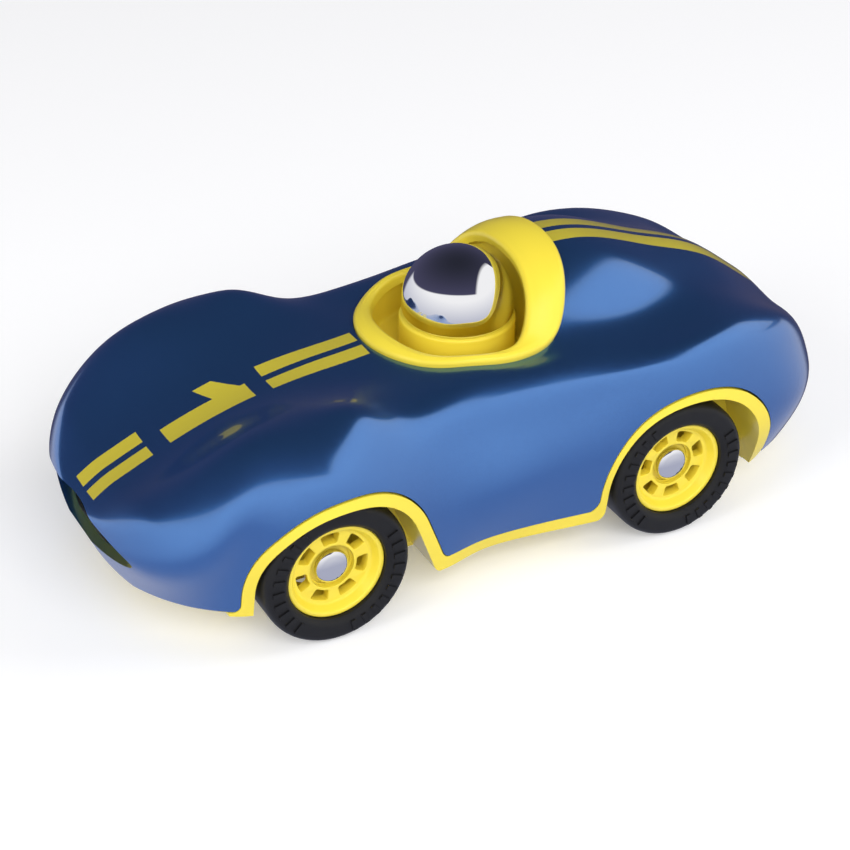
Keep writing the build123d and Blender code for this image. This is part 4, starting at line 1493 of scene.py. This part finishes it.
@dataclass
class Driver:
    """Driver: a round post with a mirror-bright domed head."""

    x: float = -1.9
    head_radius: float = 11.5
    head_centre_z: float = 46.2
    base_z: float = 43.45
    post_radius: float = 11.9
    foot_z: float = 35.45
    shoulder: float = 0.7
    gap: float = 0.05

    def solid(self, name: str, profile: Sequence[tuple[float, float]]) -> bpy.types.Object:
        """Solid turned about the post's upright axis.

        Args:
            name: The object's name.
            profile: (radius, height) points from the axis back to the axis.

        Returns:
            The closed solid.
        """
        made = turned(name, profile, lambda ahead, left, z: (self.x + ahead, left, z), 128)
        smooth(made, 40.0)
        return made

    def post(self) -> bpy.types.Object:
        """The post, with a softened upper edge.

        Returns:
            The finished mesh.
        """
        r, top, foot = self.post_radius, self.base_z - self.gap, self.foot_z
        bends = [(0, top, 0), (r, top, self.shoulder), (r, foot, 0), (0, foot, 0)]
        return self.solid("driver_body", rounded(bends))

    def head(self) -> bpy.types.Object:
        """The domed head.

        Returns:
            The finished mesh.
        """
        low = math.asin((self.base_z - self.head_centre_z) / self.head_radius)
        rim = self.head_radius * math.cos(low)
        profile = [(0.0, self.base_z), (rim - 0.15, self.base_z), (rim, self.base_z + 0.12)]
        for turn in np.linspace(low + 0.02, math.pi / 2, 60):
            reach = self.head_radius * math.cos(turn) if turn < math.pi / 2 - 1e-6 else 0.0
            profile.append((reach, self.head_centre_z + self.head_radius * math.sin(turn)))
        return self.solid("driver_dome", profile)


@dataclass
class Wheel:
    """One wheel: a rubber tyre, a dished rim with windows and a bright cap."""

    end: End
    side: Side
    window_phase: float
    tyre_radius: float = 15.3
    tyre_width: float = 11.0
    face_y: float = 35.5
    rim_radius: float = 10.2
    rim_face: float = 34.0
    flange: float = 0.9
    dish: float = 1.9
    web: float = 2.2
    barrel: float = 9.095
    wall: float = 1.0
    hub: float = 5.0
    hub_inner: float = 23.1
    recess: float = 4.7
    recess_depth: float = 1.6
    bore: float = 1.5
    cap_radius: float = 3.55
    cap_skirt: float = 1.7
    cap_dome: float = 0.9
    stick_out: float = 1.2
    windows: int = 7
    window_inner: float = 5.3
    window_outer: float = 7.6
    window_angle: float = 33.0
    window_corner: float = 0.55
    window_ease: float = 0.15
    web_bevel: float = 0.15
    bead: float = 9.1
    bead_gap: float = 0.05
    shoulder: float = 2.7

    @property
    def axle_x(self) -> float:
        """Place of the axle along the car."""
        return self.end.axle_x

    def label(self, part: str) -> str:
        """Name of one of the wheel's pieces."""
        return f"{self.end.value}_{self.side.name.lower()}_{part}"

    def tyre(self) -> bpy.types.Object:
        """The tyre's rubber ring.

        Returns:
            The finished mesh.
        """
        outer, inner, r = self.face_y, self.face_y - self.tyre_width, self.tyre_radius
        lip, seat = self.rim_face - self.flange, self.rim_radius + self.bead_gap
        profile = rounded([
            (self.bead, inner, 0.2), (self.bead, lip, 0), (seat, lip, 0),
            (seat, outer - 0.9, 0.2), (self.rim_radius + 1.1, outer, 0.9),
            (r, outer, self.shoulder), (r, inner, self.shoulder),
        ], 8)
        made = lathe(self.label("rubber"), profile, self.axle_x, self.side, 128)
        smooth(made, 40.0)
        return made

    def rim_body(self) -> bpy.types.Object:
        """The rim's turned part: lip, barrel, hub and recess, without the web.

        Returns:
            The mesh.
        """
        face, inner = self.rim_face, self.face_y - self.tyre_width
        web_out, web_edge = face - self.dish, self.barrel - self.wall
        web_in, seat = web_out - self.web, web_out - self.recess_depth
        flange_y = face - self.flange + 0.005
        outer_ring = rounded([
            (web_edge, web_in, 0), (web_edge, inner, 0.15), (self.barrel, inner, 0.15),
            (self.barrel, flange_y, 0), (self.rim_radius, flange_y, 0.1),
            (self.rim_radius, face, 0.35), (self.rim_radius - 0.95, face, 0.3),
            (web_edge + 0.25, web_out + 0.1, 0.5), (web_edge - 0.25, web_out, 0),
            (web_edge - 0.25, web_in, 0),
        ])
        hub = rounded([
            (self.bore, self.hub_inner, 0), (self.hub, self.hub_inner, 0.2), (self.hub, web_in, 0),
            (self.hub, web_out, 0.12), (self.recess, web_out, 0.12), (self.recess, seat + 0.5, 0),
            (self.recess - 0.35, seat + 0.5, 0.1), (self.recess - 0.35, seat, 0.1),
            (self.bore, seat, 0),
        ])
        runs = {"ring": outer_ring, "hub": hub}
        parts = [lathe(name, run, self.axle_x, self.side) for name, run in runs.items()]
        return joined("rim body", parts)

    def rim_web(self) -> bpy.types.Object:
        """The rim's web: a flat ring with rounded windows, edges softened.

        Returns:
            The mesh.
        """
        data = bpy.data.curves.new("web", "CURVE")
        data.dimensions = "2D"
        data.fill_mode = "BOTH"
        data.extrude = (self.web / 2 - self.web_bevel) * MM
        data.bevel_depth = self.web_bevel * MM
        data.bevel_resolution = 2
        rings = [circle(self.barrel - self.wall - 0.1), circle(self.recess + 0.2)]
        for i in range(self.windows):
            rings.append(self.window(self.window_phase + 360 * i / self.windows))
        for ring in rings:
            spline = data.splines.new("POLY")
            spline.points.add(len(ring) - 1)
            flat = [c for a, b in ring for c in (a * MM, b * MM, 0.0, 1.0)]
            spline.points.foreach_set("co", flat)
            spline.use_cyclic_u = True
        thing = bpy.data.objects.new("web", data)
        bpy.context.scene.collection.objects.link(thing)
        bpy.context.view_layer.update()
        made = settle(thing)
        middle = self.rim_face - self.dish - self.web / 2
        work = bmesh.new()
        work.from_mesh(made.data)
        for corner in work.verts:
            a, b, c = corner.co
            x = self.axle_x * MM + a
            corner.co = (x, self.side.value * (middle * MM + c), AXLE_Z * MM + b)
        bmesh.ops.remove_doubles(work, verts=work.verts, dist=0.000002)
        bmesh.ops.recalc_face_normals(work, faces=work.faces)
        work.to_mesh(made.data)
        work.free()
        return made

    def window(self, angle: float) -> list[tuple[float, float]]:
        """Outline of one window: a stretch of a ring with rounded corners.

        Args:
            angle: Direction of its middle in degrees.

        Returns:
            The points.
        """
        half = math.radians(self.window_angle / 2)
        middle = math.radians(angle)
        inner, outer = self.window_inner - self.window_ease, self.window_outer + self.window_ease
        corner, quarter = self.window_corner, [math.pi / 2 * k / 4 for k in range(1, 4)]
        points = []
        for radius, sign in ((outer, 1), (inner, -1)):
            ease = corner / radius
            start, end = -sign * (half - ease), sign * (half - ease)
            towards = -sign * corner
            points.append((radius + towards, middle - sign * half))
            for t in quarter:
                swing = -sign * (half - ease * (1 - math.cos(t)))
                points.append((radius + towards * (1 - math.sin(t)), middle + swing))
            points += [(radius, middle + start + (end - start) * k / 6) for k in range(7)]
            for t in quarter:
                swing = sign * (half - ease * (1 - math.sin(t)))
                points.append((radius + towards * (1 - math.cos(t)), middle + swing))
            points.append((radius + towards, middle + sign * half))
        return [(r * math.cos(a), r * math.sin(a)) for r, a in points]

    def rim(self) -> bpy.types.Object:
        """The whole rim.

        Returns:
            The finished mesh.
        """
        made = joined(self.label("spoked_rim"), [self.rim_body(), self.rim_web()])
        smooth(made, 35.0)
        return made

    def cap(self) -> bpy.types.Object:
        """The bright cap over the end of the axle.

        Returns:
            The finished mesh.
        """
        seat = self.rim_face - self.dish - self.recess_depth + 0.05
        rise, end, r = seat + self.cap_skirt, seat + self.stick_out, self.cap_radius
        top = rise + self.cap_dome
        bends = [
            (self.bore, seat, 0), (r, seat, 0.05), (r, rise, 0.3), (r * 0.82, rise + 0.45, 0.4),
            (r * 0.45, top - 0.12, 0.6), (0, top, 0), (0, end, 0), (self.bore, end, 0),
        ]
        made = lathe(self.label("bright_cap"), rounded(bends), self.axle_x, self.side)
        smooth(made, 40.0)
        return made


# ------------------------------------------------------------------- repeated details
class NodeTree:
    """A Geometry Nodes tree with named inputs."""

    def __init__(self, name: str) -> None:
        """Start an empty tree.

        Args:
            name: The tree's name.
        """
        self.tree = bpy.data.node_groups.new(name, "GeometryNodeTree")
        self.tree.interface.new_socket("Geometry", in_out="OUTPUT", socket_type="NodeSocketGeometry")
        self.entry = self.tree.nodes.new("NodeGroupInput")
        self.exit = self.tree.nodes.new("NodeGroupOutput")

    def size(self, name: str, kind: str = "NodeSocketFloat") -> bpy.types.NodeSocket:
        """Add a named input.

        Args:
            name: The input's name.
            kind: Its socket type.

        Returns:
            The socket inside the tree.
        """
        self.tree.interface.new_socket(name, in_out="INPUT", socket_type=kind)
        return self.entry.outputs[name]

    def node(self, kind: str, settings: dict, inputs: dict, output: object = 0) -> bpy.types.NodeSocket:
        """Add a node.

        Args:
            kind: The node's type.
            settings: Attributes that are set before the sockets.
            inputs: Values or links by socket name or number.
            output: Name or number of the socket to return.

        Returns:
            The chosen output.
        """
        made = self.tree.nodes.new(kind)
        for key, value in settings.items():
            setattr(made, key, value)
        for key, value in inputs.items():
            if isinstance(value, bpy.types.NodeSocket):
                self.tree.links.new(value, made.inputs[key])
            else:
                made.inputs[key].default_value = value
        return made.outputs[output]

    def maths(self, operation: str, first: object, second: object = 0.0) -> bpy.types.NodeSocket:
        """Add a Math node."""
        return self.node("ShaderNodeMath", {"operation": operation}, {0: first, 1: second})

    def close(self, geometry: bpy.types.NodeSocket, finish: bpy.types.Material) -> None:
        """End the tree in Realize Instances and Set Material.

        Args:
            geometry: What the tree has made.
            finish: Its material.
        """
        real = self.node("GeometryNodeRealizeInstances", {}, {0: geometry})
        done = self.node("GeometryNodeSetMaterial", {}, {"Geometry": real, "Material": finish})
        self.tree.links.new(done, self.exit.inputs[0])

    def grow(self, name: str, values: dict) -> bpy.types.Object:
        """Run the tree and keep its result as a plain mesh.

        Args:
            name: The object's name.
            values: Value of each named input.

        Returns:
            The finished object.
        """
        carrier = mesh_object(name, [(0, 0, 0)], [])
        modifier = carrier.modifiers.new("nodes", "NODES")
        modifier.node_group = self.tree
        for item in self.tree.interface.items_tree:
            if item.in_out == "INPUT" and item.name in values:
                modifier[item.identifier] = values[item.name]
        return settle(carrier)


@dataclass
class SidewallRibs:
    """Raised bars round a tyre's outer wall, in two groups that face each other."""

    finish: bpy.types.Material
    count: int = 10
    centres: tuple = (5.0, 205.0)
    arc: float = 104.0
    ring_radius: float = 12.75
    length: float = 2.4
    width: float = 0.95
    height: float = 0.9
    sink: float = 0.12
    tree: NodeTree = field(init=False)

    def __post_init__(self) -> None:
        """Build the tree that makes one group."""
        tree = NodeTree("sidewall ribs")
        count = tree.size("Count", "NodeSocketInt")
        centre, arc = tree.size("Group angle"), tree.size("Group arc")
        radius, axle_x = tree.size("Ring radius"), tree.size("Axle place")
        wall, side = tree.size("Wall place"), tree.size("Side")
        length, width, height = tree.size("Length"), tree.size("Width"), tree.size("Height")
        number = tree.node("GeometryNodeInputIndex", {}, {})
        gaps = tree.maths("SUBTRACT", count, 1.0)
        share = tree.maths("SUBTRACT", tree.maths("DIVIDE", number, gaps), 0.5)
        angle = tree.maths("ADD", centre, tree.maths("MULTIPLY", share, arc))
        across = tree.maths("MULTIPLY", tree.maths("COSINE", angle), radius)
        up = tree.maths("MULTIPLY", tree.maths("SINE", angle), radius)
        place = tree.node("ShaderNodeCombineXYZ", {}, {
            0: tree.maths("ADD", axle_x, across),
            1: tree.maths("MULTIPLY", side, wall),
            2: tree.maths("ADD", up, AXLE_Z * MM),
        })
        line = tree.node("GeometryNodeMeshLine", {}, {"Count": count})
        spots = tree.node("GeometryNodeSetPosition", {}, {"Geometry": line, "Position": place})
        size = tree.node("ShaderNodeCombineXYZ", {}, {0: length, 1: height, 2: width})
        bar = tree.node("GeometryNodeMeshCube", {}, {"Size": size})
        turn = tree.node("ShaderNodeCombineXYZ", {}, {1: tree.maths("MULTIPLY", angle, -1.0)})
        bars = tree.node("GeometryNodeInstanceOnPoints", {}, {
            "Points": spots, "Instance": bar, "Rotation": turn,
        })
        tree.close(bars, self.finish)
        self.tree = tree

    def build(self, wheel: Wheel) -> bpy.types.Object:
        """Make the bars of one wheel.

        Args:
            wheel: The wheel that carries them.

        Returns:
            One plain mesh.
        """
        values = {
            "Count": self.count, "Group arc": math.radians(self.arc),
            "Ring radius": self.ring_radius * MM, "Axle place": wheel.axle_x * MM,
            "Wall place": (wheel.face_y - self.sink) * MM, "Side": float(wheel.side.value),
            "Length": self.length * MM, "Width": self.width * MM, "Height": self.height * MM,
        }
        groups = [
            self.tree.grow("group", {**values, "Group angle": math.radians(centre)})
            for centre in self.centres
        ]
        made = joined(wheel.label("ribs"), groups)
        made.data.update()
        return made


def keep_inside(thing: bpy.types.Object, node: str) -> None:
    """Shrink a piece by the little that it stands out of its CAD node's box.

    Args:
        thing: The piece.
        node: The CAD node it stands for.
    """
    low, high = (np.array(corner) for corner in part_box(node))
    flat = np.empty(len(thing.data.vertices) * 3, dtype=np.float32)
    thing.data.vertices.foreach_get("co", flat)
    places = flat.reshape(-1, 3).astype(float)
    first, last = places.min(axis=0), places.max(axis=0)
    new_first, new_last = np.maximum(first, low), np.minimum(last, high)
    places = new_first + (places - first) * (new_last - new_first) / (last - first)
    thing.data.vertices.foreach_set("co", places.astype(np.float32).ravel())
    thing.data.update()


# ------------------------------------------------------------------- studio
@dataclass(frozen=True)
class Softbox:
    """A soft rectangular lamp that faces the car and that no mirror shows."""

    name: str
    place: tuple
    size: tuple
    power: float
    aim_z: float = 0.03

    def hang(self) -> None:
        """Put the lamp in the scene."""
        data = bpy.data.lights.new(self.name, "AREA")
        data.shape, data.energy = "RECTANGLE", self.power
        data.size, data.size_y = self.size
        thing = bpy.data.objects.new(self.name, data)
        away = Vector(self.place) - Vector((0, 0, self.aim_z))
        turn = away.to_track_quat("Z", "Y").to_matrix().to_4x4()
        thing.matrix_world = Matrix.Translation(self.place) @ turn
        thing.visible_glossy = False
        bpy.context.scene.collection.objects.link(thing)


@dataclass(frozen=True)
class Room:
    """What the car mirrors: a white room greying low down to painted floor shade, a dark ceiling and far
    side, a bright panel.

    Directions are unit vectors; `facing` points from the car to the near wall.
    """

    facing: tuple = (0.479, 0.878)
    ceiling_slope: float = 0.36
    ceiling_edge: float = 0.30
    ceiling_low: tuple = colour(0.068, 0.066, 0.125)
    ceiling_high: tuple = colour(0.018, 0.020, 0.030)
    floor_shade_top: float = 0.40
    wall_high: tuple = colour(1, 1, 1)
    # Grey that mirrors show low down: painted shade standing in for the floor's shadow near the car.
    painted_floor_shade: tuple = colour(0.44, 0.46, 0.58)
    far_side: float = -0.70
    panel_beside: float = 0.56
    panel_near: float = -0.62
    panel_low: float = 0.2
    falling_light: tuple = colour(0.34, 0.34, 0.35)
    backdrop: tuple = colour(1, 1, 1)

    def build(self) -> None:
        """Make the world; what falls on the car is plain light."""
        world = bpy.data.worlds.new("room")
        bpy.context.scene.world = world
        tree = ShaderTree(world)
        x, y, z = tree.parts("Generated")
        near = x * self.facing[0] + y * self.facing[1]
        beside = y * self.facing[0] - x * self.facing[1]
        height = z - near * self.ceiling_slope - self.ceiling_edge
        dark = tree.mix((height * 1.2).clamped(), self.ceiling_low, self.ceiling_high)
        # Low down the mirrored room greys to painted shade, in place of the floor's shadow, as mirrors
        # do not see the floor.
        walls_and_floor_shade = tree.mix(((z - self.floor_shade_top) * -1.1).clamped(), self.wall_high, self.painted_floor_shade)
        above = (height * 25.0).clamped()
        behind = ((near - self.far_side) * -12.0).clamped()
        panel = ((beside - self.panel_beside) * 14.0).clamped()
        panel = panel * (near > self.panel_near) * (z > self.panel_low)
        room = tree.mix(above.at_least(behind) * (1.0 - panel), walls_and_floor_shade, dark)
        lit = tree.mix(tree.seen(), self.falling_light, room)
        path = tree.node("ShaderNodeLightPath", {}, {}, "Is Camera Ray")
        shown = tree.mix(path, lit, self.backdrop)
        tree.node_output(tree.node("ShaderNodeBackground", {}, {"Color": shown}))


@dataclass
class Studio:
    """Plain white floor, soft lights and the camera."""

    eye: tuple = (0.18438, 0.32827, 0.25283)
    aim: tuple = (-0.40588, -0.74379, -0.53106)
    right: tuple = (-0.88068, 0.47361, 0.00976)
    lens: float = 90.12
    floor_tone: tuple = colour(0.86, 0.86, 0.87)
    floor_glow: tuple = colour(0.22, 0.22, 0.22)
    floor_reach: float = 3000.0
    lamps: tuple = (
        Softbox("near softbox", (0.15, 1.1, 0.9), (1.2, 0.8), 13.5),
        Softbox("nose softbox", (1.1, 0.3, 0.6), (0.5, 0.7), 5.4),
        Softbox("tail softbox", (-1.1, 0.5, 0.8), (0.6, 0.8), 5.4),
    )

    def camera(self) -> None:
        """Place the camera."""
        data = bpy.data.cameras.new("camera")
        data.lens, data.sensor_width = self.lens, 36.0
        data.clip_start, data.clip_end = 0.01, 20.0
        aim, right = Vector(self.aim).normalized(), Vector(self.right).normalized()
        up = right.cross(aim)
        turn = Matrix((right, up, -aim)).transposed().to_4x4()
        thing = bpy.data.objects.new("camera", data)
        thing.matrix_world = Matrix.Translation(self.eye) @ turn
        bpy.context.scene.collection.objects.link(thing)
        bpy.context.scene.camera = thing

    def floor(self) -> None:
        """Lay the floor, which looks whiter than the light that it gives."""
        tree = ShaderTree(bpy.data.materials.new("white floor"))
        diffuse = tree.node("ShaderNodeBsdfDiffuse", {}, {"Color": self.floor_tone})
        tone = tree.mix(tree.seen(), colour(0, 0, 0), self.floor_glow)
        glow = tree.node("ShaderNodeEmission", {}, {"Color": tone})
        tree.node_output(tree.node("ShaderNodeAddShader", {}, {0: diffuse, 1: glow}))
        far = self.floor_reach
        edge = [(-far, -far, 0), (far, -far, 0), (far, far, 0), (-far, far, 0)]
        made = dress(mesh_object("floor", edge, [(0, 1, 2, 3)]), tree.owner)
        made.visible_glossy = False

    def build(self) -> None:
        """Set up the whole studio."""
        self.floor()
        Room().build()
        for softbox in self.lamps:
            softbox.hang()
        self.camera()
        bpy.context.scene.view_settings.view_transform = "Standard"


# ------------------------------------------------------------------- assembly
class Car:
    """The whole car: makes each sub-assembly and seats it on its body."""

    def __init__(self) -> None:
        """Make the finishes and the body's form."""
        self.finishes = Finishes()
        self.form = BodyForm()
        self.ribs = SidewallRibs(self.finishes.rubber)

    def seat(
        self, thing: bpy.types.Object, finish: bpy.types.Material, body: str, slot: str, *nodes: str
    ) -> None:
        """Dress a piece and tie it to the frame.

        Args:
            thing: The piece.
            finish: Its material.
            body: The CAD body it rides on.
            slot: The record's material slot; not used.
            *nodes: CAD nodes it stands for.
        """
        dress(thing, finish)
        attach(thing, body)
        for node in nodes:
            keep_inside(thing, node)
            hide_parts(node)
        LOG.info("%s: %d faces", thing.name, len(thing.data.polygons))

    def body(self) -> None:
        """Upper and lower body and what they carry."""
        done, driver = self.finishes, Driver()
        self.seat(BodyShell(self.form).build(), done.blue, "car_body", "blue_body", "body_shell")
        rim = Surround(TopField(self.form)).build()
        self.seat(rim, done.yellow, "car_body", "yellow_plastic", "cockpit_surround")
        self.seat(driver.post(), done.yellow, "car_body", "yellow_plastic", "driver_post")
        self.seat(driver.head(), done.chrome, "car_body", "chrome", "driver_head")
        self.seat(Chassis(self.form).build(), done.yellow, "car_body", "yellow_plastic", "chassis")
        intake = smooth_copy("intake_liner", "intake", done.yellow)
        self.seat(intake, done.yellow, "car_body", "yellow_plastic")

    def wheels(self) -> None:
        """Four wheels on their two axles."""
        done = self.finishes
        for end, window_phase in ((End.FRONT, 87.5), (End.REAR, 112.0)):
            body = f"{end.value}_wheelset"
            for side in Side:
                wheel = Wheel(end, side, window_phase)
                node = f"{end.value}_{side.name.lower()}_"
                self.seat(wheel.tyre(), done.rubber, body, "tyre_rubber", node + "tyre")
                self.seat(self.ribs.build(wheel), done.rubber, body, "tyre_rubber")
                self.seat(wheel.rim(), done.yellow, body, "yellow_plastic", node + "rim")
                self.seat(wheel.cap(), done.chrome, body, "chrome", node + "hub_cap")

    def hidden_parts(self) -> None:
        """Finishes of the CAD nodes that show as they are."""
        done = self.finishes
        looks = {
            done.steel: (
                "body_screws", "driver_screw", "front_axle", "rear_axle", "idler_pin",
                "spring_arbor", "mainspring",
            ),
            done.nylon: ("axle_pinion", "idler_gear", "spring_barrel"),
            done.black: ("motor_housing_left", "motor_housing_right"),
        }
        for finish, nodes in looks.items():
            for node in nodes:
                dress(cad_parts[node], finish)
                LOG.info("%s: CAD node", node)


def main() -> None:
    """Build the car and its studio."""
    logging.basicConfig(level=logging.INFO, format="%(message)s")
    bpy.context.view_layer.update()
    car = Car()
    car.body()
    car.wheels()
    car.hidden_parts()
    Studio().build()


if __name__ == "__main__":
    main()
